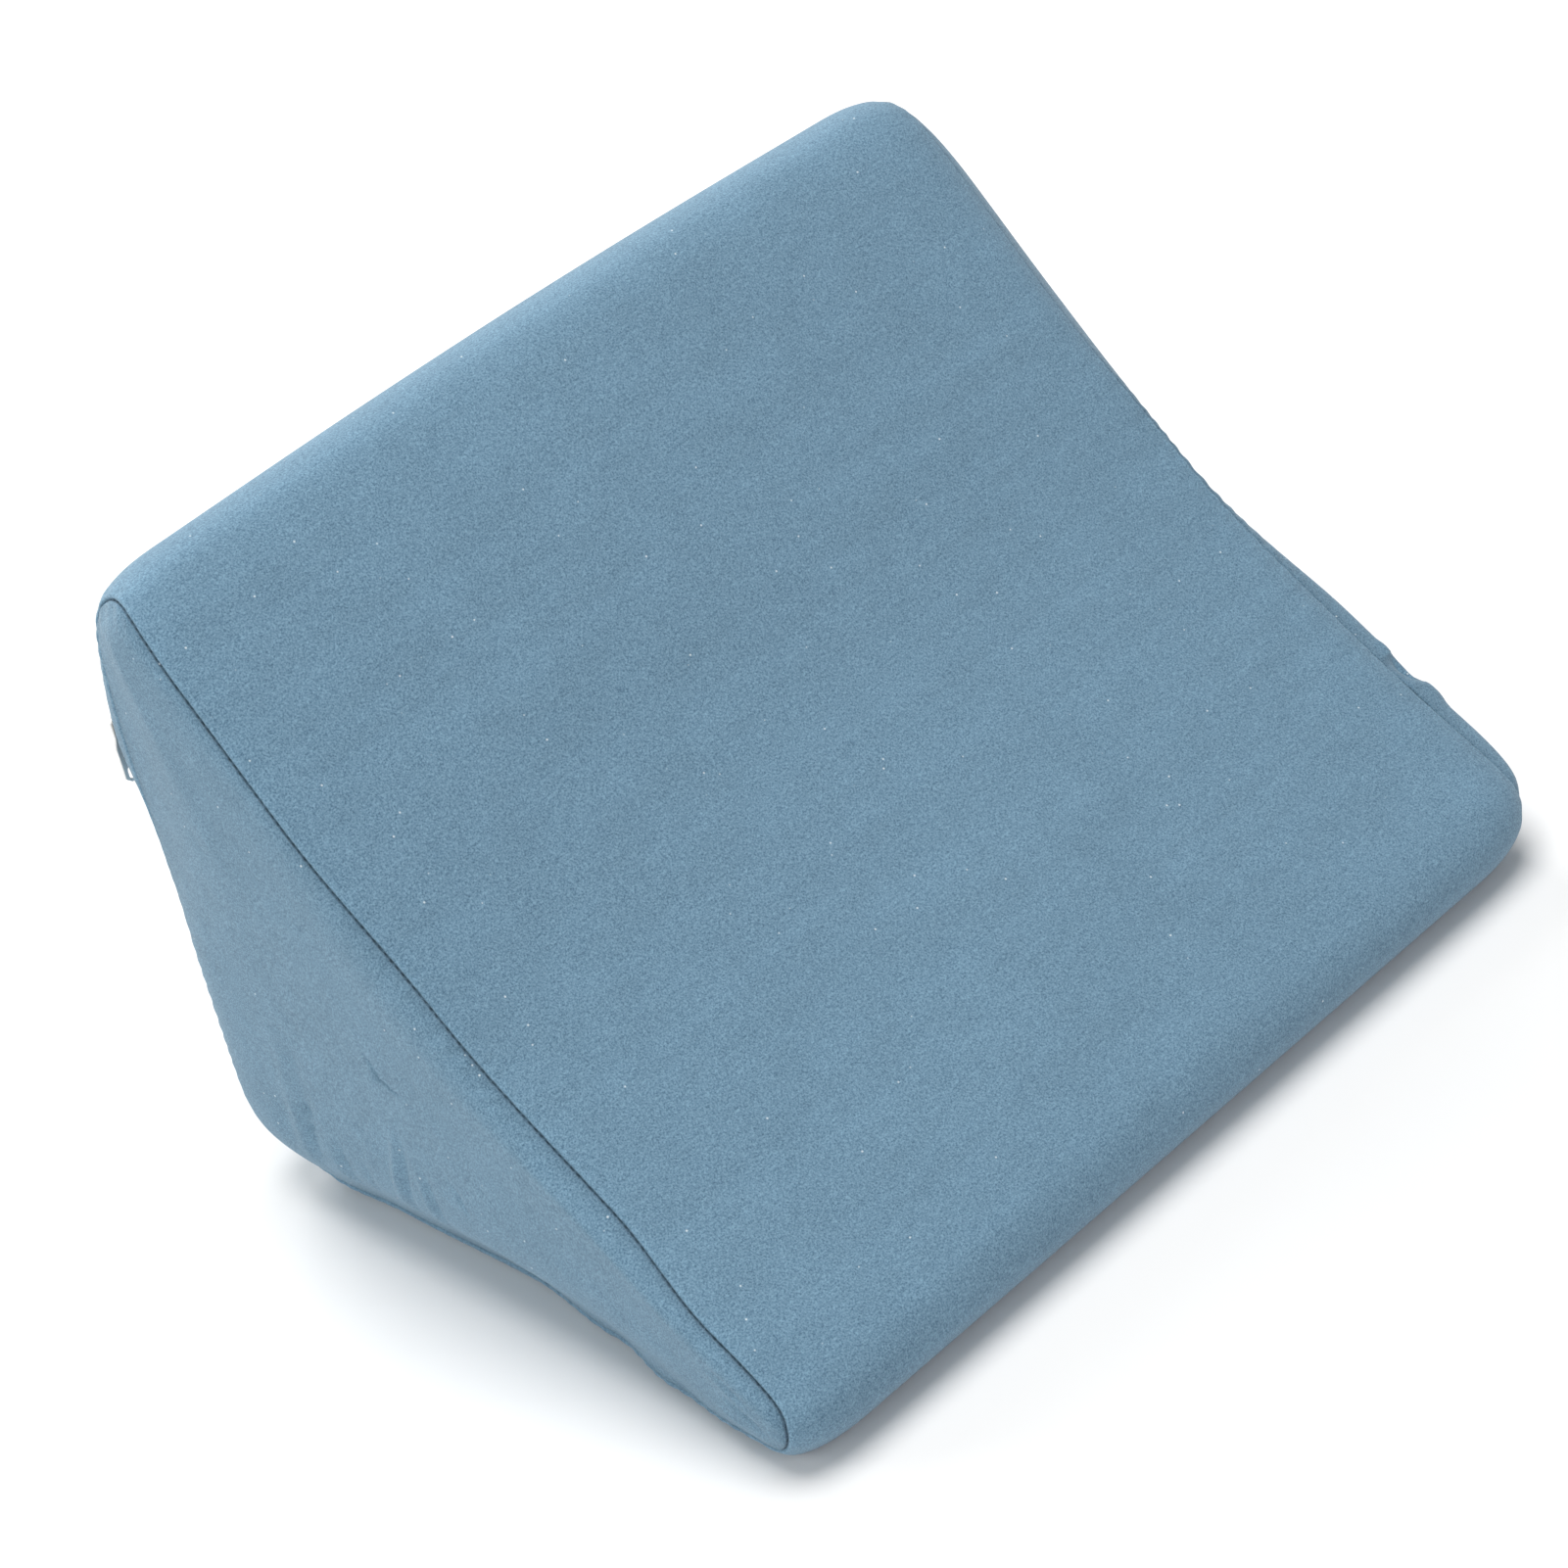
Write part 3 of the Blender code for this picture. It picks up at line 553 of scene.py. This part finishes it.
FoldLine = namedtuple("FoldLine", "side startY startZ endY endZ width height")
foldLines = (
    # hanging folds of the near gusset, towards its heel
    FoldLine("near", 0.1000, 0.1080, 0.1085, 0.0290, 0.0024, 0.0019),
    FoldLine("near", 0.0940, 0.1040, 0.1030, 0.0270, 0.0024, -0.0027),
    FoldLine("near", 0.1150, 0.0720, 0.1180, 0.0320, 0.0034, -0.0012),
    FoldLine("near", 0.0870, 0.0600, 0.0895, 0.0230, 0.0020, 0.0013),
    FoldLine("near", 0.0815, 0.0600, 0.0840, 0.0230, 0.0021, -0.0017),
    FoldLine("near", 0.0370, 0.0830, 0.0530, 0.0270, 0.0021, 0.0012),
    FoldLine("near", 0.0315, 0.0810, 0.0470, 0.0270, 0.0022, -0.0017),
    FoldLine("near", 0.0270, 0.0700, 0.0305, 0.0290, 0.0019, 0.0009),
    FoldLine("near", 0.0215, 0.0680, 0.0250, 0.0290, 0.0020, -0.0013),
    FoldLine("near", 0.0050, 0.0700, 0.0010, 0.0560, 0.0018, -0.0009),
    FoldLine("near", 0.0660, 0.0560, 0.0690, 0.0260, 0.0021, -0.0010),
    # two fine creases above them
    FoldLine("near", 0.0640, 0.0810, 0.0475, 0.0585, 0.0012, -0.00035),
    FoldLine("near", 0.0315, 0.0775, 0.0275, 0.0715, 0.0012, -0.00035),
    # drawn-in cloth at the near gusset's nose
    FoldLine("near", -0.157, 0.020, -0.136, 0.029, 0.0018, -0.0012),
    FoldLine("near", -0.155, 0.026, -0.134, 0.036, 0.0018, 0.0009),
    FoldLine("near", -0.150, 0.031, -0.130, 0.043, 0.0018, -0.0010),
    FoldLine("near", -0.146, 0.016, -0.128, 0.023, 0.0018, 0.0007),
    # tuck of the far gusset
    FoldLine("far", -0.0880, 0.0768, -0.0975, 0.0710, 0.0012, 0.0012),
    FoldLine("far", -0.0955, 0.0725, -0.1110, 0.0600, 0.0020, -0.0040),
    FoldLine("far", -0.1000, 0.0775, -0.1160, 0.0640, 0.0034, 0.0034),
    FoldLine("far", -0.1080, 0.0640, -0.1220, 0.0530, 0.0034, 0.0018),
)


def outwardNormals(rows):
    around = np.roll(rows, -1, 1) - np.roll(rows, 1, 1)
    across = np.gradient(rows, axis=0)
    normals = np.cross(around, across)
    return normals / np.maximum(np.linalg.norm(normals, axis=2, keepdims=True), 1e-12)


def clothDistances(rows, nearSeam, farSeam):
    # length along the cloth from each point to the nearer seam
    steps = np.linalg.norm(np.diff(rows, axis=0), axis=2)
    run = np.vstack((np.zeros(rows.shape[1]), np.cumsum(steps, axis=0)))
    return np.minimum(abs(run - run[nearSeam]), abs(run - run[farSeam]))


def foldHeight(side, rows):
    total = np.zeros(rows.shape[:2])
    for fold in foldLines:
        if fold.side != side:
            continue
        start = np.array((fold.startY, fold.startZ))
        along = np.array((fold.endY, fold.endZ)) - start
        length = np.linalg.norm(along)
        along = along / length
        offset = rows[..., 1:] - start
        share = np.clip(offset @ along / length, 0, 1)
        across = offset @ np.array((-along[1], along[0]))
        fading = np.sin(pi * share) ** sewing["foldTaper"]
        total += fold.height * fading * np.exp(-(across / fold.width) ** 2)
    return total


def sewCover():
    rows, run = cover["rows"], cover["run"]
    nearSeam, farSeam = cover["nearSeam"], cover["farSeam"]
    distances = cover["seamDistances"]
    normals = outwardNormals(rows)
    onPanel = np.zeros(rows.shape[:2], bool)
    onPanel[nearSeam:farSeam + 1] = True
    height = -sewing["grooveDepth"] * np.exp(-(distances / sewing["grooveWidth"]) ** 2)
    lip = sewing["lipHeight"] * np.exp(-((distances - sewing["lipPlace"]) / sewing["lipWidth"]) ** 2)
    height += np.where(onPanel, lip, lip * sewing["gussetLip"])
    wander = sum(amount * np.sin(run * waves + first) for amount, waves, first in sewing["puckerWander"])
    amount, waves, first = sewing["puckerSwell"]
    swell = 1 - amount + amount * np.sin(run * waves + first)
    wave = np.sin(run * 2 * pi / sewing["puckerLength"] + wander) * swell
    fade = np.exp(-((distances - sewing["puckerPlace"]) / sewing["puckerWidth"]) ** 2)
    height += sewing["puckerHeight"] * wave[None] * fade
    height[:nearSeam] += foldHeight("near", rows[:nearSeam])
    height[farSeam + 1:] += foldHeight("far", rows[farSeam + 1:])
    height[cover["slot"]] = -zipPlace["slotDepth"]
    moved = rows + normals * height[..., None]
    moved[..., 2] = np.maximum(moved[..., 2], 0)
    return moved


cover["seamDistances"] = clothDistances(cover["rows"], cover["nearSeam"], cover["farSeam"])
cover["rows"] = sewCover()
print("cover sewn")


# Materials

def newMaterial(name):
    material = bpy.data.materials.new(name)
    material.use_nodes = True
    return material, material.node_tree.nodes, material.node_tree.links


def addNode(nodes, kind, **settings):
    # settings are the node's own, or inputs by name with _ for a space
    node = nodes.new(kind)
    for name, value in settings.items():
        if hasattr(node, name):
            setattr(node, name, value)
        else:
            node.inputs[name.replace("_", " ")].default_value = value
    return node


def feed(links, socket, value):
    # a plain value is set, another node's output is linked
    if isinstance(value, bpy.types.NodeSocket):
        links.new(value, socket)
    else:
        socket.default_value = value


def addNoise(nodes, links, place, size, detail, roughness=0.5):
    noise = addNode(nodes, "ShaderNodeTexNoise", Scale=size, Detail=detail, Roughness=roughness)
    links.new(place, noise.inputs["Vector"])
    return noise.outputs["Fac"]


def toneRamp(nodes, links, source, stops):
    # grey curve over a value, given as (position, brightness) pairs
    ramp = addNode(nodes, "ShaderNodeValToRGB")
    elements = ramp.color_ramp.elements
    while len(elements) < len(stops):
        elements.new(0.5)
    for element, (position, tone) in zip(elements, stops):
        element.position = position
        element.color = (tone, tone, tone, 1)
    links.new(source, ramp.inputs["Fac"])
    return ramp.outputs["Color"]


def mathStep(nodes, links, operation, *values):
    step = addNode(nodes, "ShaderNodeMath", operation=operation)
    for socket, value in zip(step.inputs, values):
        feed(links, socket, value)
    return step.outputs["Value"]


def mixColours(nodes, links, share, first, second):
    mix = addNode(nodes, "ShaderNodeMix", data_type="RGBA")
    feed(links, mix.inputs["Factor"], share)
    colours = [socket for socket in mix.inputs if socket.type == "RGBA"]
    for socket, value in zip(colours, (first, second)):
        feed(links, socket, value)
    return next(socket for socket in mix.outputs if socket.type == "RGBA")


def shadeColour(nodes, links, colour, tone):
    # the colour made paler or darker by a tone around 1
    shaded = addNode(nodes, "ShaderNodeVectorMath", operation="SCALE")
    feed(links, shaded.inputs["Vector"], colour)
    links.new(tone, shaded.inputs["Scale"])
    return shaded.outputs["Vector"]


def addBump(nodes, links, height, depth, strength, under=None):
    bump = addNode(nodes, "ShaderNodeBump", Distance=depth, Strength=strength)
    links.new(height, bump.inputs["Height"])
    if under:
        links.new(under, bump.inputs["Normal"])
    return bump.outputs["Normal"]


coverCloth = {
    "colour": (0.145, 0.267, 0.371, 1),
    "darkNap": (0.066, 0.142, 0.218, 1),
    "paleNap": (0.264, 0.432, 0.566, 1),
    "napRange": (0.32, 0.70),  # noise values of the darkest and the palest nap
    "napShare": 0.90,
    "roughness": 0.90,
    "specular": 0.2,
    "sheen": 0.22,
    "sheenRoughness": 0.5,
    # noise scales, so a bigger number is a finer pattern
    "napSize": 1250.0,
    "patchSize": 38.0,
    "creaseSize": 105.0,
    "unevennessSize": 170.0,
    "lintSize": 95.0,
    "creaseStretch": (0.07, 1, 1),     # draws the creases out across the width
    # (noise value, brightness) pairs
    "patchTones": ((0.3, 0.965), (0.7, 1.035)),
    # painted shade and highlight along the creases
    "creaseShadeAndHighlights": ((0.35, 0.975), (0.65, 1.025)),
    "lint": (0.60, 0.68, 0.73, 1),
    "lintEdge": ((0.030, 1.0), (0.055, 0.0)),
    # bumps: depth in metres and strength
    "creaseBump": (0.0012, 0.30),
    "patchBump": (0.0030, 0.25),
    "napBump": (0.0006, 0.50),
    "seamReach": 0.008,       # width of the shaded strip each side of a seam
    # painted shade and highlight beside a seam, as brightness of the cloth by the distance from the seam: 0
    # gusset side, 0.5 seam, 1 panel side; painted shade in the groove and on the gusset beside it, painted
    # highlight on the panel's folded edge
    "seamShadeAndHighlights": ((0.0, 1.0), (0.22, 0.94), (0.44, 0.84), (0.50, 0.78), (0.53, 0.98),
                  (0.58, 1.10), (0.64, 1.05), (0.75, 1.0)),
    # how dark the sewn line itself is, by the same distance: the thread's own dark colour and painted shade
    # at the bottom of the groove
    "lineThreadAndShadeTones": ((0.462, 0.0), (0.486, 0.48), (0.5, 0.64), (0.510, 0.48), (0.526, 0.0)),
    "lineUnevenness": ((0.40, 0.35), (0.60, 1.0)),   # how evenly dark it is along the seam
    "dashShare": 0.85,        # how much paler the line is between two stitches
}


def napColour(nodes, links, nap):
    # fine pale and dark fibres
    shade = addNode(nodes, "ShaderNodeValToRGB")
    dark, pale = shade.color_ramp.elements
    dark.position, pale.position = coverCloth["napRange"]
    dark.color, pale.color = coverCloth["darkNap"], coverCloth["paleNap"]
    links.new(nap, shade.inputs["Fac"])
    return mixColours(nodes, links, coverCloth["napShare"], coverCloth["colour"], shade.outputs["Color"])


def seamShade(nodes, links, place):
    # painted shade in the groove and on the gusset beside it, painted highlight along the folded edge of the
    # panel, and the sewn line dashed by the stitches, dark with thread and painted groove shade
    seamMap = addNode(nodes, "ShaderNodeSeparateXYZ")
    links.new(addNode(nodes, "ShaderNodeUVMap", uv_map="seamMap").outputs["UV"], seamMap.inputs["Vector"])
    stitches, distance = seamMap.outputs["X"], seamMap.outputs["Y"]
    # painted shade and highlight beside the seam
    seamShadeAndHighlight = toneRamp(nodes, links, distance, coverCloth["seamShadeAndHighlights"])
    # the sewn line: the thread's dark colour and painted shade in the groove, made uneven along the seam by
    # noise
    line = toneRamp(nodes, links, distance, coverCloth["lineThreadAndShadeTones"])
    swing = mathStep(nodes, links, "COSINE", mathStep(nodes, links, "MULTIPLY", stitches, 2 * pi))
    halfDash = coverCloth["dashShare"] / 2
    dash = mathStep(nodes, links, "MULTIPLY_ADD", swing, -halfDash, 1 - halfDash)
    unevenness = toneRamp(nodes, links, addNoise(nodes, links, place, coverCloth["unevennessSize"], 2.0),
                    coverCloth["lineUnevenness"])
    dashed = mathStep(nodes, links, "MULTIPLY", line, dash)
    darkness = mathStep(nodes, links, "MULTIPLY", dashed, unevenness)
    return mathStep(nodes, links, "MULTIPLY", seamShadeAndHighlight, mathStep(nodes, links, "SUBTRACT", 1.0, darkness))


def brushedCloth():
    material, nodes, links = newMaterial("brushedCoverCloth")
    shader = nodes["Principled BSDF"]
    shader.inputs["Roughness"].default_value = coverCloth["roughness"]
    shader.inputs["Sheen Weight"].default_value = coverCloth["sheen"]
    shader.inputs["Sheen Roughness"].default_value = coverCloth["sheenRoughness"]
    shader.inputs["Specular IOR Level"].default_value = coverCloth["specular"]
    place = addNode(nodes, "ShaderNodeTexCoord").outputs["Object"]
    nap = addNoise(nodes, links, place, coverCloth["napSize"], 3.0, 0.7)

    # patches where the nap was brushed another way, and creases across the width, with painted shade and
    # highlight along the creases
    patches = addNoise(nodes, links, place, coverCloth["patchSize"], 3.0, 0.6)
    patchTone = toneRamp(nodes, links, patches, coverCloth["patchTones"])
    acrossWidth = addNode(nodes, "ShaderNodeMapping", Scale=coverCloth["creaseStretch"])
    links.new(place, acrossWidth.inputs["Vector"])
    creases = addNoise(nodes, links, acrossWidth.outputs["Vector"], coverCloth["creaseSize"], 2.0, 0.55)
    # painted shade and highlight along the creases, from the same noise as their bump
    creaseShadeAndHighlight = toneRamp(nodes, links, creases, coverCloth["creaseShadeAndHighlights"])
    # patch tone times the painted shade and highlight of the creases and seams
    tone = mathStep(nodes, links, "MULTIPLY", patchTone, creaseShadeAndHighlight)
    tone = mathStep(nodes, links, "MULTIPLY", tone, seamShade(nodes, links, place))
    shaded = shadeColour(nodes, links, napColour(nodes, links, nap), tone)

    # lint: a few pale specks
    specks = addNode(nodes, "ShaderNodeTexVoronoi", Scale=coverCloth["lintSize"])
    links.new(place, specks.inputs["Vector"])
    lint = toneRamp(nodes, links, specks.outputs["Distance"], coverCloth["lintEdge"])
    finished = mixColours(nodes, links, lint, shaded, coverCloth["lint"])
    links.new(finished, shader.inputs["Base Color"])

    creaseBump = addBump(nodes, links, creases, *coverCloth["creaseBump"])
    patchBump = addBump(nodes, links, patches, *coverCloth["patchBump"], creaseBump)
    napBump = addBump(nodes, links, nap, *coverCloth["napBump"], patchBump)
    links.new(napBump, shader.inputs["Normal"])
    return material


threadFinish = {
    "colour": (0.036, 0.072, 0.104),
    "roughness": 0.7,
    "twistSize": 2500.0,
    "twistTones": ((0.3, 0.75), (0.7, 1.3)),
    "twistBump": (0.0002, 0.4),
}


def seamThread():
    material, nodes, links = newMaterial("seamThread")
    shader = nodes["Principled BSDF"]
    shader.inputs["Roughness"].default_value = threadFinish["roughness"]
    place = addNode(nodes, "ShaderNodeTexCoord").outputs["Object"]
    twist = addNoise(nodes, links, place, threadFinish["twistSize"], 1.0)
    tone = toneRamp(nodes, links, twist, threadFinish["twistTones"])
    shaded = shadeColour(nodes, links, threadFinish["colour"], tone)
    links.new(shaded, shader.inputs["Base Color"])
    links.new(addBump(nodes, links, twist, *threadFinish["twistBump"]), shader.inputs["Normal"])
    return material


zipFinish = {
    "tape": (0.060, 0.110, 0.150),
    "tapeRoughness": 0.85,
    "tapeSheen": 0.15,
    "ribPitch": 0.0009,
    "ribDistortion": 0.6,
    "threadSize": 2200.0,
    "tapeTones": ((0.2, 0.6), (0.8, 1.3)),
    "tapeBump": (0.0003, 0.6),
    "coil": (0.100, 0.150, 0.190),
    "coilRoughness": 0.42,
    "rubbedSize": 700.0,
    "coilTones": ((0.3, 0.8), (0.7, 1.2)),
    "metal": (0.74, 0.74, 0.73),
    "metallic": 0.75,
    "metalRoughness": 0.42,
    "scratchSize": 900.0,
    "scratchStretch": (1, 1, 0.15),    # draws the scratches out along the pull
    "metalTones": ((0.3, 0.86), (0.7, 1.08)),
    "metalBump": (0.0001, 0.25),
}


def wovenTape():
    # cross ribs of the zip's tape with the threads between them
    material, nodes, links = newMaterial("wovenZipTape")
    shader = nodes["Principled BSDF"]
    shader.inputs["Roughness"].default_value = zipFinish["tapeRoughness"]
    shader.inputs["Sheen Weight"].default_value = zipFinish["tapeSheen"]
    place = addNode(nodes, "ShaderNodeTexCoord").outputs["Object"]
    ribs = addNode(nodes, "ShaderNodeTexWave", bands_direction="X", Scale=pi / 10 / zipFinish["ribPitch"],
                   Distortion=zipFinish["ribDistortion"])
    links.new(place, ribs.inputs["Vector"])
    threads = addNoise(nodes, links, place, zipFinish["threadSize"], 2.0)
    weave = mathStep(nodes, links, "ADD", ribs.outputs["Fac"], threads)
    tone = toneRamp(nodes, links, mathStep(nodes, links, "MULTIPLY", weave, 0.5), zipFinish["tapeTones"])
    links.new(shadeColour(nodes, links, zipFinish["tape"], tone), shader.inputs["Base Color"])
    links.new(addBump(nodes, links, weave, *zipFinish["tapeBump"]), shader.inputs["Normal"])
    return material


def coilNylon():
    material, nodes, links = newMaterial("zipCoilNylon")
    shader = nodes["Principled BSDF"]
    shader.inputs["Roughness"].default_value = zipFinish["coilRoughness"]
    place = addNode(nodes, "ShaderNodeTexCoord").outputs["Object"]
    rubbed = addNoise(nodes, links, place, zipFinish["rubbedSize"], 2.0)
    tone = toneRamp(nodes, links, rubbed, zipFinish["coilTones"])
    links.new(shadeColour(nodes, links, zipFinish["coil"], tone), shader.inputs["Base Color"])
    return material


def platedMetal():
    # satin plating with fine scratches
    material, nodes, links = newMaterial("platedZipMetal")
    shader = nodes["Principled BSDF"]
    shader.inputs["Metallic"].default_value = zipFinish["metallic"]
    shader.inputs["Roughness"].default_value = zipFinish["metalRoughness"]
    place = addNode(nodes, "ShaderNodeTexCoord").outputs["Object"]
    stretched = addNode(nodes, "ShaderNodeMapping", Scale=zipFinish["scratchStretch"])
    links.new(place, stretched.inputs["Vector"])
    scratches = addNoise(nodes, links, stretched.outputs["Vector"], zipFinish["scratchSize"], 3.0)
    tone = toneRamp(nodes, links, scratches, zipFinish["metalTones"])
    links.new(shadeColour(nodes, links, zipFinish["metal"], tone), shader.inputs["Base Color"])
    links.new(addBump(nodes, links, scratches, *zipFinish["metalBump"]), shader.inputs["Normal"])
    return material


# The filled cover

def mapSeams(piece):
    # UV map: stitches along the seam from 0, and the distance from the nearest seam, 0.5 at the seam
    count = wedge["outlineCount"]
    length = np.append(cover["run"], 2 * cover["run"][-1] - cover["run"][-2])
    stitchCount = round(length[-1] / sewing["stitchPitch"])
    along = length / length[-1] * stitchCount
    signed = cover["seamDistances"].copy()
    signed[:cover["nearSeam"]] *= -1
    signed[cover["farSeam"] + 1:] *= -1
    across = 0.5 + signed / coverCloth["seamReach"] / 2
    column = np.arange(count)
    row = np.arange(len(signed) - 1)[:, None]
    corners = []
    for r, c in ((row, column), (row, column + 1), (row + 1, column + 1), (row + 1, column)):
        corners.append(np.stack(np.broadcast_arrays(along[c], across[r, c % count]), 2))
    quads = np.stack(corners, 2)
    nearFan = np.zeros((count, 3, 2))
    nearFan[:, 1, 0] = along[1:]
    nearFan[:, 2, 0] = along[:-1]
    farFan = nearFan[:, (0, 2, 1)]
    layer = piece.data.uv_layers.new(name="seamMap")
    everyCorner = np.concatenate([part.reshape(-1, 2) for part in (quads, nearFan, farFan)])
    layer.data.foreach_set("uv", everyCorner.reshape(-1))


def makePillow():
    pillow = gridMesh("filledCover", cover["rows"], cover["poles"])
    bpy.ops.object.select_all(action="DESELECT")
    bpy.context.view_layer.objects.active = pillow
    pillow.select_set(True)
    bpy.ops.object.shade_smooth()
    mapSeams(pillow)
    pillow.data.materials.append(brushedCloth())
    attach(pillow, "root")
    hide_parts("cushion")
    return pillow


pillow = makePillow()
print("cover has", len(pillow.data.polygons), "faces")


# Stitches along both side seams and beside the zip

def placing(at, along, up):
    # turns and moves a piece so that its X runs along and its Z points up
    along = along / np.linalg.norm(along)
    side = np.cross(up, along)
    side = side / np.linalg.norm(side)
    up = np.cross(along, side)
    return Matrix((*[(along[k], side[k], up[k], at[k]) for k in range(3)], (0, 0, 0, 1)))


def evenPlaces(path, outward, closed):
    # the stitches' places at even steps along a path, sunk under the surface
    pitch = sewing["stitchPitch"]
    if closed:
        path = np.vstack((path, path[:1]))
        outward = np.vstack((outward, outward[:1]))
    run = np.append(0, np.cumsum(np.linalg.norm(np.diff(path, axis=0), axis=1)))
    count = round(run[-1] / pitch)
    middles = (np.arange(count) + 0.5) * run[-1] / count
    reach = pitch / 4
    at, before, after, up = (np.column_stack([np.interp(where, run, values[:, k]) for k in range(3)])
                             for where, values in ((middles, path), (middles - reach, path),
                                                   (middles + reach, path), (middles, outward)))
    at = at - up * sewing["stitchSink"]
    return [placing(at[k], after[k] - before[k], up[k]) for k in range(count)]


def joinCopies(model, name, places):
    # one copy of the model at each place, each with its own mesh, joined as one piece
    copies = []
    for place in places:
        copy = model.copy()
        copy.data = model.data.copy()
        copy.matrix_world = place
        bpy.context.scene.collection.objects.link(copy)
        copies.append(copy)
    bpy.data.objects.remove(model)
    bpy.ops.object.select_all(action="DESELECT")
    for copy in copies:
        copy.select_set(True)
    bpy.context.view_layer.objects.active = copies[0]
    bpy.ops.object.join()
    piece = bpy.context.object
    bpy.ops.object.transform_apply(location=True, rotation=True, scale=True)
    bpy.ops.object.shade_smooth()
    piece.name = name
    return piece


def selectFaces(piece, wanted):
    # opens edit mode with only the wanted faces selected
    bpy.ops.object.mode_set(mode="EDIT")
    bpy.ops.mesh.select_mode(type="FACE")
    bpy.ops.mesh.select_all(action="DESELECT")
    bpy.ops.object.mode_set(mode="OBJECT")
    for face in piece.data.polygons:
        face.select = wanted(face)
    bpy.ops.object.mode_set(mode="EDIT")


def addStitch():
    # a short round thread whose two ends narrow and dive into the cloth
    bpy.ops.object.select_all(action="DESELECT")
    taper = sewing["stitchTaper"]
    bpy.ops.mesh.primitive_cylinder_add(vertices=6, radius=sewing["stitchWidth"] / 2, calc_uvs=False,
                                        depth=sewing["stitchLength"] - 2 * taper, rotation=(0, pi / 2, 0))
    stitch = bpy.context.object
    bpy.ops.object.transform_apply(location=True, rotation=True, scale=True)
    for end in (-1, 1):
        selectFaces(stitch, lambda face: face.normal.x * end > 0.9)
        bpy.ops.mesh.extrude_region_move(TRANSFORM_OT_translate={"value": (end * taper, 0, -taper / 2)})
        bpy.ops.transform.resize(value=(1, sewing["stitchTip"], sewing["stitchTip"]))
        bpy.ops.object.mode_set(mode="OBJECT")
    return stitch


def zipColumn(offset):
    # the outline's point that lies at this height from the zip's middle, on the back
    seam = bareRows[cover["nearSeam"]]
    gap = abs(seam[:, 2] - zipPlace["height"] - offset)
    return int(np.argmin(np.where(seam[:, 1] > zipPlace["backFrom"], gap, 1)))


def makeStitches():
    rows, normals = cover["rows"], outwardNormals(cover["rows"])
    places = []
    for row in (cover["nearSeam"], cover["farSeam"]):
        places += evenPlaces(rows[row], normals[row], True)
    panel = slice(cover["nearSeam"] + sewing["stitchEndRows"], cover["farSeam"] + 1 - sewing["stitchEndRows"])
    for side in (-1, 1):
        column = zipColumn(side * (zipPlace["slotWidth"] / 2 + zipPlace["stitchGap"]))
        places += evenPlaces(rows[panel, column], normals[panel, column], False)
    stitches = joinCopies(addStitch(), "seamStitches", places)
    stitches.data.materials.append(seamThread())
    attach(stitches, "root")
    print(len(places), "stitches sewn")


makeStitches()


# Zip: coil teeth on the CAD's tape, with the CAD's slider and pull

coil = {
    "pitch": 0.00135,
    "toothLength": 0.0029,     # across the zip, from the coil's outer edge past the middle
    "toothWidth": 0.00055,
    "headLength": 0.0007,      # of the head at the end that passes the middle
    "headSpread": 1.35,        # its width as a share of the tooth's
    "toothThickness": 0.0016,
    "toothRounding": 0.00022,
    "coilSpread": 0.00095,     # from the zip's middle to the middle of each coil
    "start": -0.2066,          # of the closed chain, at the slider
    "end": 0.2162,
    "depth": 0.0003,           # of the teeth's middle under the cloth's surface
}


def addTooth():
    # one loop of the coil: a rounded bar across the zip, with a wider head
    bpy.ops.object.select_all(action="DESELECT")
    length = coil["toothLength"] - coil["headLength"]
    bpy.ops.mesh.primitive_cube_add(size=1, calc_uvs=False, location=(0, -coil["headLength"] / 2, 0),
                                    scale=(coil["toothWidth"], length, coil["toothThickness"]))
    tooth = bpy.context.object
    bpy.ops.object.transform_apply(location=True, rotation=True, scale=True)
    selectFaces(tooth, lambda face: face.normal.y > 0.9)
    bpy.ops.mesh.extrude_region_move(TRANSFORM_OT_translate={"value": (0, coil["headLength"], 0)})
    bpy.ops.transform.resize(value=(coil["headSpread"], 1, 1))
    bpy.ops.mesh.select_all(action="SELECT")
    bpy.ops.mesh.bevel(offset=coil["toothRounding"], segments=1)
    bpy.ops.object.mode_set(mode="OBJECT")
    return tooth


def makeCoil():
    column = zipColumn(0.0)
    panel = slice(cover["nearSeam"], cover["farSeam"] + 1)
    path = bareRows[panel, column].copy()
    path[:, 2] = zipPlace["height"]
    outward = outwardNormals(bareRows)[panel, column]
    xs = np.arange(coil["start"], coil["end"], coil["pitch"] / 2) + wedge["boxMiddle"][0]
    surface = np.column_stack([np.interp(xs, path[:, 0], path[:, k]) for k in range(3)])
    ups = np.column_stack([np.interp(xs, path[:, 0], outward[:, k]) for k in range(3)])
    places = []
    for number in range(1, len(xs) - 1):
        side = 1 if number % 2 else -1
        at = surface[number] - ups[number] * coil["depth"] + np.array((0, 0, side * coil["coilSpread"]))
        places.append(placing(at, side * (surface[number + 1] - surface[number - 1]), ups[number]))
    teeth = joinCopies(addTooth(), "zipCoil", places)
    teeth.data.materials.append(coilNylon())
    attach(teeth, "root")
    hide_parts("zip_chain")
    print(len(places), "coil teeth set")


def finishZip():
    metal = platedMetal()
    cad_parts["zip_tape"].material_slots[0].material = wovenTape()
    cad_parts["zip_slider"].material_slots[0].material = metal
    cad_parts["zip_pull"].material_slots[0].material = metal


makeCoil()
finishZip()
print("zip finished")
